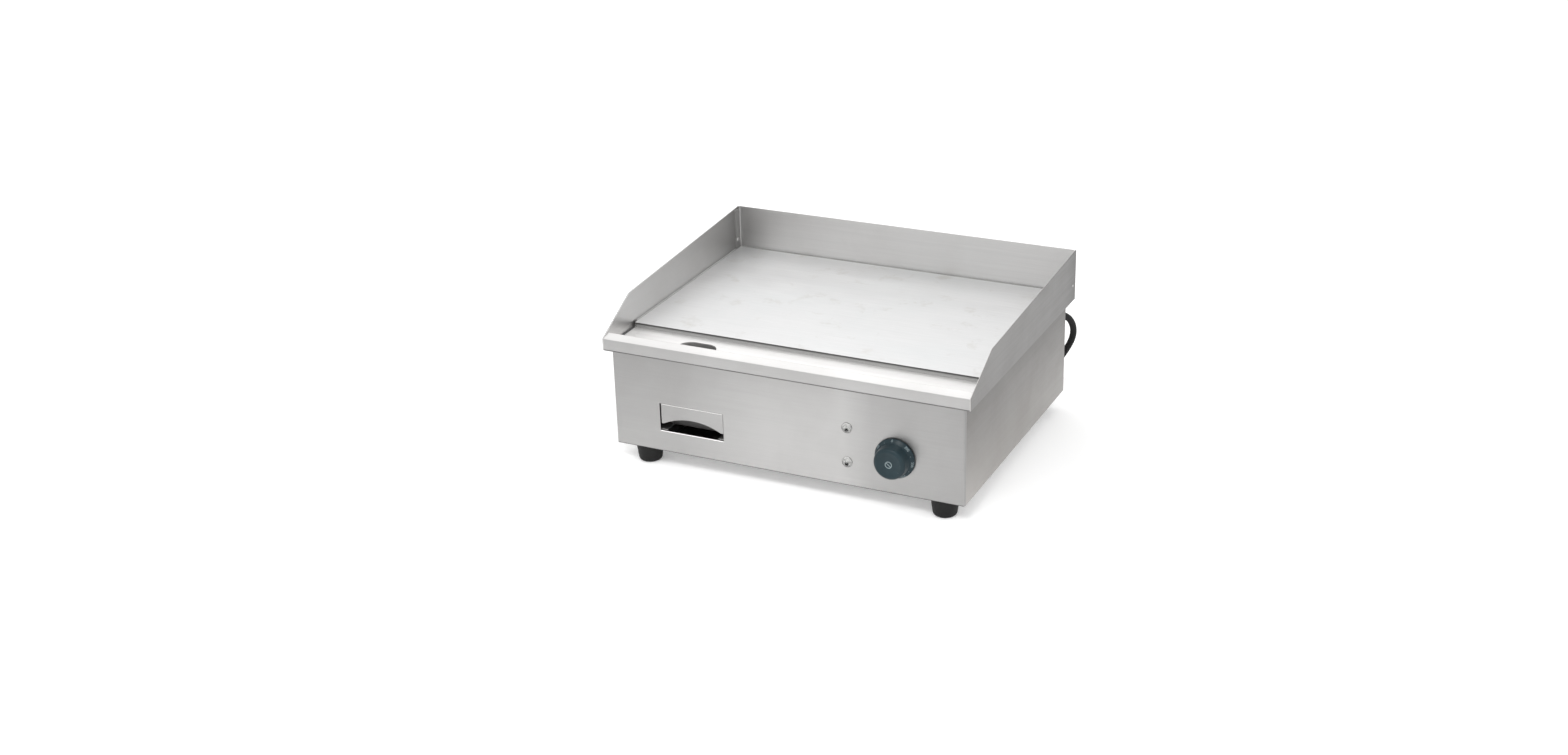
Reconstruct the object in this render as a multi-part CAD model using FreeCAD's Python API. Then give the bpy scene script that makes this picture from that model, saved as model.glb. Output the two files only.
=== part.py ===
"""Countertop electric griddle: sheet steel body, splash guards, cooking plate and grease drawer.

Millimetres. +X right, +Y to the back, +Z up. The origin is on the floor, at the middle of the
object's box (cord left out).
"""
import FreeCAD, Part
import math
import os
from FreeCAD import Vector

# ---- driving dimensions -------------------------------------------------------------------
WIDTH = 550.0              # over the side guards
TOP_DEPTH = 430.0          # front rim to back guard
HEIGHT = 246.0             # floor to the top of the back guard
KNOB_REACH = 17.0          # knob face in front of the rim
FOOT_HEIGHT = 26.0
BODY_WIDTH = 530.0
BODY_TOP = 170.0
SHEET = 1.2                # body sheet
GUARD = 1.5                # guard sheet
PLATE_THICKNESS = 8.0

FRONT = KNOB_REACH - (TOP_DEPTH + KNOB_REACH) / 2   # y of the rim's front face
BACK = FRONT + TOP_DEPTH                            # y of the back guard
BODY_FRONT = FRONT + 7.5
BODY_BACK = BACK - 11.0
HALF = BODY_WIDTH / 2
GUARD_HALF = WIDTH / 2
INNER_BACK = BODY_BACK - SHEET                      # inside face of the back panel
INNER_FRONT = BODY_FRONT + SHEET                    # inside face of the front panel
BASE_TOP = FOOT_HEIGHT + SHEET
RETURN_LENGTH = 4.0                                 # the front panel's ends, round the corner
FLANGE = 14.0
SCREW_HOLE = 2.1
FOOT_SCREW_HOLE = 3.2
BACK_SCREWS_LOW = [(x, FOOT_HEIGHT + 7.0) for x in (-200.0, -70.0, 60.0, 190.0)]
BACK_SCREWS_SIDE = [(side * (HALF - 7.5), z) for side in (-1, 1) for z in (72.0, 144.0)]

# front rim, trough and side guard outline
RIM_FRONT_TOP = 187.4
RIM_CREST = (FRONT + 15.0, 192.0)
TROUGH_START = FRONT + 19.0
TROUGH_END = FRONT + 100.0
SLOPE_TOP = (FRONT + 79.3, 227.8)
FLANGE_TOP = BODY_TOP + GUARD                       # guard flanges lie on the body
TROUGH_FLOOR = FLANGE_TOP + SHEET
DRAIN_CENTRE = (-152.7, -156.9)
DRAIN_SIZE = (58.0, 38.0)
GUARD_FLANGE = 30.0
TAB_LENGTH = 16.0
TAB_TOP = HEIGHT - 3.0
RIVET_Z = 194.0
RIVET_Y = BACK - GUARD - 9.0

# cooking plate
PLATE_HALF = 271.0
PLATE_FRONT = FRONT + 85.8
PLATE_BACK = BACK - 4.7
PLATE_TOP = TROUGH_FLOOR + PLATE_THICKNESS

# heating
ELEMENT_RADIUS = 4.0
ELEMENT_Z = TROUGH_FLOOR - ELEMENT_RADIUS - 0.1
LEG_SPACING = 38.0
ELEMENT_STARTS = {"front_element": -98.0, "rear_element": 58.0}
ELEMENT_LEFT = -225.0
ELEMENT_RIGHT = 210.0
TERMINAL_X = 240.0
TERMINAL_Z = 121.0
END_BEND = 15.0
BAR_X = (-160.0, 0.0, 160.0)
STUD_Y = (-79.0, 37.0, 153.0)
STUD_RADIUS = 3.0
STUD_END = 130.0
BAR_TOP = ELEMENT_Z - ELEMENT_RADIUS - 0.1
BAR_THICKNESS = 2.0
SHIELD_BOX = (-236.0, 222.0, -114.0, 181.0)         # x0, x1, y0, y1
SHIELD_Z = 138.8
PAD_TOP = 156.0
NUT_THICKNESS = 5.0

# drawer
DRAWER_OPENING = (-193.0, -93.0, 57.0, 99.0)        # x0, x1, z0, z1
DRAWER_BOX = (-191.0, -95.0, 59.0, 95.0)
DRAWER_WELL_FRONT = -176.0
DRAWER_REAR = 24.0
DRAWER_RECESS = 1.2
DRAWER_SHEET = 1.0
ARCH_HALF = 45.0
ARCH_RISE = 11.0
ARCH_FOOT = 68.0
RAIL_CLEARANCE = 0.1

# controls
KNOB_CENTRE = (165.5, 80.0)
KNOB_RADIUS = 29.0
GRIP_RADIUS = 23.4
KNOB_FACE = FRONT - KNOB_REACH
SHAFT_RADIUS = 3.0
LAMP_X = 95.0
LAMPS = {"upper_lamp": 112.0, "lower_lamp": 61.0}
LENS_RADIUS = 7.5
LIMITER_CENTRE = (150.0, 66.0)                      # x, z on the back panel
BUTTON_TRAVEL = 2.0
BUTTON_RADIUS = 2.4
BUTTON_END = INNER_BACK - 13.0                      # the button's inner end, at rest

# feet
FOOT_X = {"left": -222.0, "right": 230.0}
FOOT_Y = {"front": BODY_FRONT + 18.5, "rear": BODY_BACK - 24.0}
FOOT_TOP_RADIUS = 19.5
FOOT_BOTTOM_RADIUS = 15.5
FOOT_RECESS_RADIUS = 7.0
FOOT_RECESS_DEPTH = 15.0
FOOT_EDGE = 5.0

# mains cord
CORD_RADIUS = 5.1
GLAND_CENTRE = (226.0, 121.0)                       # x, z on the back panel
BOOT_START = BODY_BACK + 11.0
CORD_START = BODY_BACK + 36.0
CORD_ROUTE = [
    (226.0, CORD_START, 121.0),
    (229.5, 280.5, 120.0),
    (243.5, 309.5, 102.0),
    (244.5, 326.0, 68.5),
    (227.5, 325.0, 33.5),
    (210.5, 300.5, 9.5),
    (180.0, 280.5, CORD_RADIUS),
    (143.0, 283.0, CORD_RADIUS),
]
COIL_STUB = 36.0                                    # straight lead-in to the coil
COIL_TURN_RADIUS = 57.1                             # outer turn, to the cord's middle
TAIL_RUN = 43.0                                     # coil middle to where the tail is clear of it
PLUG_Z = 18.6
GLAND_INNER = INNER_BACK - 14.0
PLUG_RELIEF = 22.0
PLUG_BODY = 36.0
PLUG_RADIUS = 18.5
PIN_SPACING = 19.0
PIN_LENGTH = 19.0

# thermostat, limiter, lamps
BULB_RADIUS = 3.0
BULB_Z = TROUGH_FLOOR - BULB_RADIUS - 0.1
BULB_X = (60.0, 140.0)
BULB_Y = {
    "thermostat": ELEMENT_STARTS["front_element"] + 2.5 * LEG_SPACING,
    "limiter": ELEMENT_STARTS["rear_element"] + 0.5 * LEG_SPACING,
}
CAPILLARY_X = 229.0
CAPILLARY_RADIUS = 1.0
CONTROL_HALF = 19.0
THERMOSTAT_REAR = INNER_FRONT + 32.0
LIMITER_REAR = INNER_BACK - 30.0
LIMITER_HALF = 15.0
BUSH_END = BODY_BACK + 5.5
LAMP_BODY_LENGTH = 26.0
KNOB_GAP = 1.2
SKIRT_FRONT_RADIUS = 24.8
SKIRT_FRONT = 7.5                                   # skirt's front edge, out from the panel
KNOB_DEPTH = BODY_FRONT - KNOB_FACE
HUB_RADIUS = 7.5

# wiring
TERMINAL_BLOCK = (186.0, 236.0, 96.0, 118.0)        # x0, x1, y0, y1 on the base
TERMINAL_BLOCK_HEIGHT = 20.0
POLES = (195.0, 211.0, 227.0)
WIRE_RADIUS = 1.5
WIRE_BEND = 6.0
EARTH_STUD = (235.0, 30.0)


# ---- helpers ------------------------------------------------------------------------------
def block(x0, x1, y0, y1, z0, z1):
    return Part.makeBox(x1 - x0, y1 - y0, z1 - z0, Vector(x0, y0, z0))


def rod(start, end, radius):
    start = Vector(*start)
    along = Vector(*end) - start
    return Part.makeCylinder(radius, along.Length, start, along)


def join(shapes):
    whole = shapes[0]
    if len(shapes) > 1:
        whole = whole.multiFuse(shapes[1:]).removeSplitter()
    return whole


def group(shapes):
    return Part.makeCompound(shapes)


def upright_edges(shape):
    return [edge for edge in shape.Edges if edge.BoundBox.ZLength > 5.0]


def deep_edges(shape):
    return [edge for edge in shape.Edges if edge.BoundBox.YLength > 5.0]


def hexagon_nut(centre, along, flats, thickness, bore):
    """Hexagon nut whose first face is at centre, running along the given direction."""
    corner = flats / math.sqrt(3)
    points = []
    for step in range(7):
        angle = math.radians(60 * step)
        points.append(Vector(corner * math.cos(angle), corner * math.sin(angle), 0))
    nut = Part.Face(Part.makePolygon(points)).extrude(Vector(0, 0, thickness))
    nut = nut.common(Part.makeCone(corner * 1.06, flats / 2 * 0.96 + thickness, thickness))
    nut = nut.cut(Part.makeCylinder(bore, thickness + 2, Vector(0, 0, -1)))
    nut.Placement = FreeCAD.Placement(Vector(*centre), FreeCAD.Rotation(Vector(0, 0, 1), Vector(*along)))
    return nut


def pan_screw(seat, along, head_radius, head_height, shank_radius, shank_length):
    """Domed cross-head screw: its shank runs along from the seat, its head stands the other way."""
    profile = [
        Vector(0, 0, shank_length),
        Vector(shank_radius - 0.4, 0, shank_length),
        Vector(shank_radius, 0, shank_length - 0.6),
        Vector(shank_radius, 0, 0),
        Vector(head_radius, 0, 0),
        Vector(head_radius, 0, -0.35 * head_height),
    ]
    crown = Part.Arc(profile[-1], Vector(0.62 * head_radius, 0, -0.86 * head_height),
                     Vector(0, 0, -head_height)).toShape()
    sides = Part.makePolygon(profile).Edges
    axis = Part.makeLine(Vector(0, 0, -head_height), profile[0])
    face = Part.Face(Part.Wire(Part.__sortEdges__(sides + [crown, axis])))
    screw = face.revolve(Vector(0, 0, 0), Vector(0, 0, 1), 360)
    slot_length = head_radius * 1.1
    slot_width = head_radius * 0.24
    for length, width in ((slot_length, slot_width), (slot_width, slot_length)):
        screw = screw.cut(block(-length / 2, length / 2, -width / 2, width / 2,
                                -head_height - 1, -0.45 * head_height))
    screw.Placement = FreeCAD.Placement(Vector(*seat), FreeCAD.Rotation(Vector(0, 0, 1), Vector(*along)))
    return screw


def turned(profile, centre, along):
    """Solid turned from (radius, distance) points about an axis from centre along a direction."""
    points = [Vector(radius, 0, distance) for radius, distance in profile]
    points.append(points[0])
    solid = Part.Face(Part.makePolygon(points)).revolve(Vector(0, 0, 0), Vector(0, 0, 1), 360)
    solid.Placement = FreeCAD.Placement(Vector(*centre), FreeCAD.Rotation(Vector(0, 0, 1), Vector(*along)))
    return solid


def bent_strip(points, thickness, bend, place):
    """Face of a bent sheet's section. points: its middle line. place(u, v) gives the point in space."""
    half = thickness / 2
    points = [FreeCAD.Base.Vector2d(u, v) for u, v in points]
    heads = []
    for first, second in zip(points, points[1:]):
        run = second - first
        heads.append((run.x / run.length(), run.y / run.length()))
    edges = []
    ends = []
    for side in (half, -half):
        here = (points[0].x - heads[0][1] * side, points[0].y + heads[0][0] * side)
        ends.append(here)
        for corner, (ax, ay), (bx, by) in zip(points[1:-1], heads, heads[1:]):
            left = 1 if ax * by - ay * bx > 0 else -1
            turn = math.acos(ax * bx + ay * by)
            middle_radius = bend + half
            back = middle_radius * math.tan(turn / 2)
            centre = (corner.x - ax * back - ay * left * middle_radius,
                      corner.y - ay * back + ax * left * middle_radius)
            start = (corner.x - ax * back - ay * side, corner.y - ay * back + ax * side)
            end = (corner.x + bx * back - by * side, corner.y + by * back + bx * side)
            reach = math.hypot(corner.x - centre[0], corner.y - centre[1])
            radius = middle_radius - left * side
            middle = (centre[0] + (corner.x - centre[0]) * radius / reach,
                      centre[1] + (corner.y - centre[1]) * radius / reach)
            edges.append(Part.makeLine(place(*here), place(*start)))
            edges.append(Part.Arc(place(*start), place(*middle), place(*end)).toShape())
            here = end
        last = (points[-1].x - heads[-1][1] * side, points[-1].y + heads[-1][0] * side)
        edges.append(Part.makeLine(place(*here), place(*last)))
        ends.append(last)
    edges.append(Part.makeLine(place(*ends[0]), place(*ends[2])))
    edges.append(Part.makeLine(place(*ends[1]), place(*ends[3])))
    return Part.Face(Part.Wire(Part.__sortEdges__(edges)))


def sheet_along_x(points, thickness, bend, x0, x1):
    """Bent sheet with its section in the YZ plane."""
    return bent_strip(points, thickness, bend, lambda y, z: Vector(x0, y, z)).extrude(Vector(x1 - x0, 0, 0))


def sheet_along_y(points, thickness, bend, y0, y1):
    """Bent sheet with its section in the XZ plane."""
    return bent_strip(points, thickness, bend, lambda x, z: Vector(x, y0, z)).extrude(Vector(0, y1 - y0, 0))


def sheet_along_z(points, thickness, bend, z0, z1):
    """Bent sheet with its section in the XY plane."""
    return bent_strip(points, thickness, bend, lambda x, y: Vector(x, y, z0)).extrude(Vector(0, 0, z1 - z0))


def rounded_path(points, bends=None):
    """Straight runs joined by tangent arcs. With no bends, each arc is as large as its runs allow."""
    points = [Vector(*point) for point in points]
    bends = bends or [None] * (len(points) - 2)
    edges = []
    radii = []
    here = points[0]
    for before, corner, after, bend in zip(points, points[1:], points[2:], bends):
        into = corner - before
        out = after - corner
        turn = into.getAngle(out)
        bend = bend or 0.45 * min(into.Length, out.Length) / math.tan(turn / 2)
        back = bend * math.tan(turn / 2)
        into.normalize()
        out.normalize()
        start = corner - into * back
        end = corner + out * back
        inward = (out - into).normalize()
        centre = corner + inward * (bend / math.cos(turn / 2))
        if (start - here).Length > 1e-6:
            edges.append(Part.makeLine(here, start))
        edges.append(Part.Arc(start, centre - inward * bend, end).toShape())
        radii.append(bend)
        here = end
    edges.append(Part.makeLine(here, points[-1]))
    return Part.Wire(edges), radii


def tube(points, thickness_radius, bends=None):
    """Round bar along a rounded path. bends: one radius for each corner."""
    path, radii = rounded_path(points, bends)
    ring = Part.Wire(Part.Circle(Vector(*points[0]), Vector(*points[1]) - Vector(*points[0]),
                                 thickness_radius).toShape())
    solid = path.makePipeShell([ring], True, False)
    if solid.Volume < 0:
        solid.reverse()
    return solid, path, radii


def obround(centre, size, z, height):
    """Slot-shaped block, long along X, with round ends."""
    length, width = size
    straight = (length - width) / 2
    x, y = centre
    ends = [Part.makeCylinder(width / 2, height, Vector(x + side * straight, y, z)) for side in (-1, 1)]
    middle = block(x - straight, x + straight, y - width / 2, y + width / 2, z, z + height)
    return join([middle] + ends)


def wall_slot(x, z, length, width, y0, y1):
    """Slot cutter through a front or back panel, long along X."""
    straight = (length - width) / 2
    ends = [rod((x + side * straight, y0, z), (x + side * straight, y1, z), width / 2) for side in (-1, 1)]
    return join([block(x - straight, x + straight, y0, y1, z - width / 2, z + width / 2)] + ends)


# ---- body ---------------------------------------------------------------------------------


def foot_places():
    return [(x, y) for y in FOOT_Y.values() for x in FOOT_X.values()]


def front_panel():
    middle_x = HALF - SHEET / 2
    middle_y = BODY_FRONT + SHEET / 2
    rear = BODY_FRONT + RETURN_LENGTH
    panel = sheet_along_z([(-middle_x, rear), (-middle_x, middle_y), (middle_x, middle_y), (middle_x, rear)],
                          SHEET, 1.5, FOOT_HEIGHT, BODY_TOP)
    flange = block(-HALF + FLANGE, HALF - FLANGE, INNER_FRONT, INNER_FRONT + FLANGE, BODY_TOP - SHEET, BODY_TOP)
    panel = join([panel, flange])
    x0, x1, z0, z1 = DRAWER_OPENING
    cutters = [block(x0, x1, BODY_FRONT - 1, INNER_FRONT + 1, z0, z1)]
    x, z = KNOB_CENTRE
    cutters.append(rod((x, BODY_FRONT - 1, z), (x, INNER_FRONT + 1, z), 5.0))
    for side in (-14.0, 14.0):
        cutters.append(rod((x + side, BODY_FRONT - 1, z), (x + side, INNER_FRONT + 1, z), SCREW_HOLE))
    for lamp_z in LAMPS.values():
        cutters.append(rod((LAMP_X, BODY_FRONT - 1, lamp_z), (LAMP_X, INNER_FRONT + 1, lamp_z), 5.0))
    return panel.cut(group(cutters))


def side_panel(side):
    middle = side * (HALF - SHEET / 2)
    top = BODY_TOP - SHEET / 2
    panel = sheet_along_y([(middle, FOOT_HEIGHT), (middle, top), (side * (HALF - FLANGE), top)],
                          SHEET, 1.0, BODY_FRONT + RETURN_LENGTH, BODY_BACK)
    inner = side * (HALF - SHEET)
    lip = side * (HALF - FLANGE)
    rear_return = block(min(inner, lip), max(inner, lip), INNER_BACK - SHEET, INNER_BACK,
                        FOOT_HEIGHT + 16.0, BODY_TOP - 6.0)
    holes = [rod((x, INNER_BACK - 3, z), (x, BODY_BACK + 1, z), SCREW_HOLE)
             for x, z in BACK_SCREWS_SIDE if x * side > 0]
    seat = block(-HALF + SHEET, HALF - SHEET, INNER_BACK, BODY_BACK + 1, 0, BODY_TOP + 1)
    return join([panel, rear_return]).cut(group(holes + [seat]))


def back_panel():
    inner = HALF - SHEET
    panel = block(-inner, inner, INNER_BACK, BODY_BACK, FOOT_HEIGHT, BODY_TOP)
    flange = block(-HALF + FLANGE, HALF - FLANGE, INNER_BACK - FLANGE, INNER_BACK, BODY_TOP - SHEET, BODY_TOP)
    panel = join([panel, flange])
    cutters = []
    for x, z in BACK_SCREWS_LOW + BACK_SCREWS_SIDE:
        cutters.append(rod((x, INNER_BACK - 1, z), (x, BODY_BACK + 1, z), SCREW_HOLE))
    x, z = GLAND_CENTRE
    cutters.append(rod((x, INNER_BACK - 1, z), (x, BODY_BACK + 1, z), 8.1))
    x, z = LIMITER_CENTRE
    cutters.append(rod((x, INNER_BACK - 1, z), (x, BODY_BACK + 1, z), 5.1))
    for column in range(5):
        for row in range(3):
            cutters.append(wall_slot(-190.0 + 52.0 * column, 121.0 + 12.0 * row, 38.0, 5.0,
                                     INNER_BACK - 1, BODY_BACK + 1))
    return panel.cut(group(cutters))


def base_plate():
    inner = HALF - SHEET
    pan = block(-inner, inner, INNER_FRONT, INNER_BACK, FOOT_HEIGHT, FOOT_HEIGHT + FLANGE)
    pan = pan.makeFillet(2.0, upright_edges(pan))
    pan = pan.cut(block(-inner + SHEET, inner - SHEET, INNER_FRONT + SHEET, INNER_BACK - SHEET,
                        BASE_TOP, FOOT_HEIGHT + FLANGE + 1))
    cutters = []
    for x, y in foot_places():
        cutters.append(rod((x, y, FOOT_HEIGHT - 1), (x, y, BASE_TOP + 1), FOOT_SCREW_HOLE))
    for x, z in BACK_SCREWS_LOW:
        cutters.append(rod((x, INNER_BACK - 3, z), (x, INNER_BACK + 1, z), SCREW_HOLE))
    for column in range(4):
        for row in range(6):
            cutters.append(obround((-30.0 + 48.0 * column, -70.0 + 14.0 * row), (36.0, 5.0), FOOT_HEIGHT - 1, 4.0))
    return pan.cut(group(cutters))


def back_screws():
    screws = []
    for x, z in BACK_SCREWS_LOW + BACK_SCREWS_SIDE:
        screws.append(pan_screw((x, BODY_BACK, z), (0, -1, 0), 4.0, 2.4, SCREW_HOLE - 0.1, 8.0))
    return group(screws)


# ---- feet ---------------------------------------------------------------------------------


def foot(x, y):
    """Tapered rubber foot with a rounded lower edge and a pocket for its screw head."""
    slope_end = Vector(FOOT_BOTTOM_RADIUS + 1.6, 0, FOOT_EDGE)
    outline = Part.makePolygon([
        Vector(FOOT_BOTTOM_RADIUS - FOOT_EDGE + 1, 0, 0),
        Vector(FOOT_RECESS_RADIUS, 0, 0),
        Vector(FOOT_RECESS_RADIUS, 0, FOOT_RECESS_DEPTH),
        Vector(FOOT_SCREW_HOLE, 0, FOOT_RECESS_DEPTH),
        Vector(FOOT_SCREW_HOLE, 0, FOOT_HEIGHT),
        Vector(FOOT_TOP_RADIUS, 0, FOOT_HEIGHT),
        Vector(FOOT_TOP_RADIUS, 0, FOOT_HEIGHT - 2.5),
        slope_end,
    ]).Edges
    edge = Part.Arc(slope_end, Vector(FOOT_BOTTOM_RADIUS - 0.3, 0, 1.4),
                    Vector(FOOT_BOTTOM_RADIUS - FOOT_EDGE + 1, 0, 0)).toShape()
    face = Part.Face(Part.Wire(Part.__sortEdges__(outline + [edge])))
    solid = face.revolve(Vector(0, 0, 0), Vector(0, 0, 1), 360)
    solid.translate(Vector(x, y, 0))
    return solid


def foot_screws():
    return group([pan_screw((x, y, FOOT_RECESS_DEPTH), (0, 0, 1), 6.0, 4.0, 3.0, 18.0) for x, y in foot_places()])


def foot_nuts():
    nuts = []
    for x, y in foot_places():
        washer = rod((x, y, BASE_TOP), (x, y, BASE_TOP + 1.2), 6.5)
        nut = hexagon_nut((x, y, BASE_TOP + 1.2), (0, 0, 1), 10.0, NUT_THICKNESS, 1.0)
        nuts.append(join([washer, nut]).cut(rod((x, y, BASE_TOP - 1), (x, y, BASE_TOP + 9), 3.05)))
    return group(nuts)


# ---- top: guards, trough, plate -------------------------------------------------------------


def side_guard(side):
    outer = side * GUARD_HALF
    outline = [
        (FRONT, BODY_TOP),
        (FRONT, RIM_FRONT_TOP),
        SLOPE_TOP,
        (BACK, HEIGHT),
        (BACK, BODY_TOP),
        (FRONT, BODY_TOP),
    ]
    wall = Part.Face(Part.makePolygon([Vector(outer, y, z) for y, z in outline]))
    wall = wall.extrude(Vector(-side * GUARD, 0, 0))
    corners = []
    for edge in wall.Edges:
        ends = [vertex.Point for vertex in edge.Vertexes]
        across = abs(ends[0].x - ends[1].x) > GUARD / 2
        if across and abs(ends[0].y - SLOPE_TOP[0]) < 0.01:
            corners.append((edge, 6.0))
        if across and abs(ends[0].y - FRONT) < 0.01 and abs(ends[0].z - RIM_FRONT_TOP) < 0.01:
            corners.append((edge, 1.5))
    for edge, radius in corners:
        wall = wall.makeFillet(radius, [match(wall, edge)])
    inner = side * (GUARD_HALF - GUARD)
    lip = side * (GUARD_HALF - GUARD_FLANGE)
    flange = block(min(inner, lip), max(inner, lip), TROUGH_START + 2.0, BACK - GUARD, BODY_TOP, FLANGE_TOP)
    hole = rod((inner - 3, RIVET_Y, RIVET_Z), (inner + 3, RIVET_Y, RIVET_Z), 2.0)
    return join([wall, flange]).cut(hole)


def match(shape, edge):
    """The edge of shape that lies where the given edge does."""
    middle = edge.CenterOfMass
    return min(shape.Edges, key=lambda other: (other.CenterOfMass - middle).Length)


def back_guard():
    middle_x = GUARD_HALF - 1.5 * GUARD
    middle_y = BACK - GUARD / 2
    front = BACK - GUARD - TAB_LENGTH
    wall = sheet_along_z([(-middle_x, front), (-middle_x, middle_y), (middle_x, middle_y), (middle_x, front)],
                         GUARD, 2.0, FLANGE_TOP, HEIGHT)
    for side in (-1, 1):
        x0, x1 = sorted((side * (GUARD_HALF - GUARD - 4.0), side * GUARD_HALF))
        wall = wall.cut(block(x0, x1, front - 1, BACK - 4.5, TAB_TOP, HEIGHT + 1))
        wall = wall.cut(rod((x0 - 1, RIVET_Y, RIVET_Z), (x1 + 1, RIVET_Y, RIVET_Z), 2.0))
    lip = GUARD_HALF - GUARD_FLANGE
    flange = block(-lip + 0.2, lip - 0.2, BACK - 37.0, BACK, BODY_TOP, FLANGE_TOP)
    return join([wall, flange])


def guard_rivets():
    rivets = []
    for side in (-1, 1):
        inner_face = side * (GUARD_HALF - 2 * GUARD)
        outer_face = side * GUARD_HALF
        head = turned([(0, 0), (3.6, 0), (3.2, 0.7), (2.0, 1.2), (0, 1.3)],
                      (inner_face, RIVET_Y, RIVET_Z), (-side, 0, 0))
        shank = rod((inner_face, RIVET_Y, RIVET_Z), (outer_face - side * 0.1, RIVET_Y, RIVET_Z), 1.95)
        rivets.append(join([head, shank]))
    return group(rivets)


def grease_trough():
    floor = TROUGH_FLOOR - SHEET / 2
    wall = FRONT + SHEET / 2
    section = [
        (FRONT + 17.0, BODY_TOP + SHEET / 2),
        (wall, BODY_TOP + SHEET / 2),
        (wall, RIM_FRONT_TOP - SHEET / 2),
        (RIM_CREST[0], RIM_CREST[1] - SHEET / 2),
        (TROUGH_START, floor),
        (TROUGH_END, floor),
    ]
    inner = GUARD_HALF - GUARD
    sheet = sheet_along_x(section, SHEET, 1.0, -inner, inner)
    return sheet.cut(obround(DRAIN_CENTRE, DRAIN_SIZE, TROUGH_FLOOR - 4.0, 8.0))


def drip_chute():
    """Drain spout: an obround duct that narrows down to the drawer, with a lip under the trough."""
    levels = [(TROUGH_FLOOR - SHEET, DRAIN_SIZE), (DRAWER_BOX[3] + 8.0, (46.0, 28.0))]

    def duct(extra):
        wires = []
        for z, (length, width) in levels:
            outline = obround(DRAIN_CENTRE, (length + extra, width + extra), z - 1.0, 1.0)
            top = max(outline.Faces, key=lambda face: face.CenterOfMass.z)
            wires.append(top.OuterWire)
        return Part.makeLoft(wires, True, True)

    lip_z = TROUGH_FLOOR - 2 * SHEET
    lip = obround(DRAIN_CENTRE, (DRAIN_SIZE[0] + 12.0, DRAIN_SIZE[1] + 12.0), lip_z, SHEET)
    return join([duct(2 * SHEET), lip]).cut(duct(0.0))


def griddle_plate():
    plate = block(-PLATE_HALF, PLATE_HALF, PLATE_FRONT, PLATE_BACK, TROUGH_FLOOR, PLATE_TOP)
    upper = [edge for edge in plate.Edges if edge.BoundBox.ZMin > PLATE_TOP - 0.01]
    plate = plate.makeChamfer(0.6, upper)
    holes = [rod((x, y, TROUGH_FLOOR - 1), (x, y, TROUGH_FLOOR + 4.0), STUD_RADIUS)
             for x in BAR_X for y in STUD_Y]
    return plate.cut(group(holes))


def plate_gasket():
    """Heat-resisting strip between the guards' flanges and the plate, on three sides."""
    inner = GUARD_HALF - GUARD_FLANGE + 2.0
    outer = PLATE_HALF - 1.0
    rear = PLATE_BACK - 1.0
    ring = block(-outer, outer, TROUGH_END + 2.0, rear, FLANGE_TOP, TROUGH_FLOOR)
    return ring.cut(block(-inner, inner, TROUGH_END, rear - 28.0, FLANGE_TOP - 1, TROUGH_FLOOR + 1))


# ---- heating under the plate -----------------------------------------------------------------
def element(first_y):
    """Tubular heater with four legs and both ends turned down."""
    legs = [first_y + LEG_SPACING * number for number in range(4)]
    flat = []
    for number, y in enumerate(legs):
        ends = (ELEMENT_RIGHT, ELEMENT_LEFT) if number % 2 == 0 else (ELEMENT_LEFT, ELEMENT_RIGHT)
        flat.append((ends[0], y))
        flat.append((ends[1], y))
    flat = flat[1:-1]
    loops = LEG_SPACING / 2
    start = (TERMINAL_X, legs[0])
    finish = (TERMINAL_X, legs[-1])
    heights = [TERMINAL_Z] + [ELEMENT_Z] * (len(flat) + 2) + [TERMINAL_Z]
    plan = [start, start] + flat + [finish, finish]
    points = [(x, y, z) for (x, y), z in zip(plan, heights)]
    bends = [END_BEND] + [loops] * len(flat) + [END_BEND]
    solid, _, _ = tube(points, ELEMENT_RADIUS, bends)
    pins = [rod((TERMINAL_X, y, TERMINAL_Z - 12.0), (TERMINAL_X, y, TERMINAL_Z), 1.5) for y in (legs[0], legs[-1])]
    return join([solid] + pins)


def stud_places():
    return [(x, y) for x in BAR_X for y in STUD_Y]


def plate_studs():
    return group([rod((x, y, STUD_END), (x, y, TROUGH_FLOOR + 4.0), STUD_RADIUS) for x, y in stud_places()])


def clamp_bars():
    bars = []
    for x in BAR_X:
        bar = block(x - 10.0, x + 10.0, STUD_Y[0] - 34.0, STUD_Y[-1] + 29.0, BAR_TOP - BAR_THICKNESS, BAR_TOP)
        for y in STUD_Y:
            bar = bar.cut(rod((x, y, BAR_TOP - 9), (x, y, BAR_TOP + 1), STUD_RADIUS + 0.3))
        bars.append(bar)
    return group(bars)


def stud_nuts():
    """One nut under each clamp bar place, and one under the heat shield at its four corners."""
    nuts = []
    bar_bottom = BAR_TOP - BAR_THICKNESS
    for x, y in stud_places():
        nuts.append(hexagon_nut((x, y, bar_bottom), (0, 0, -1), 10.0, NUT_THICKNESS, STUD_RADIUS + 0.05))
        if x != BAR_X[1] and y != STUD_Y[1]:
            nuts.append(hexagon_nut((x, y, SHIELD_Z), (0, 0, -1), 10.0, NUT_THICKNESS, STUD_RADIUS + 0.05))
    return group(nuts)


def heat_shield():
    x0, x1, y0, y1 = SHIELD_BOX
    tray = block(x0, x1, y0, y1, SHIELD_Z, SHIELD_Z + 15.0)
    tray = tray.cut(block(x0 + SHEET, x1 - SHEET, y0 + SHEET, y1 - SHEET, SHIELD_Z + SHEET, SHIELD_Z + 16.0))
    holes = [rod((x, y, SHIELD_Z - 1), (x, y, SHIELD_Z + 3), STUD_RADIUS + 0.5) for x, y in stud_places()]
    return tray.cut(group(holes))


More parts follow.
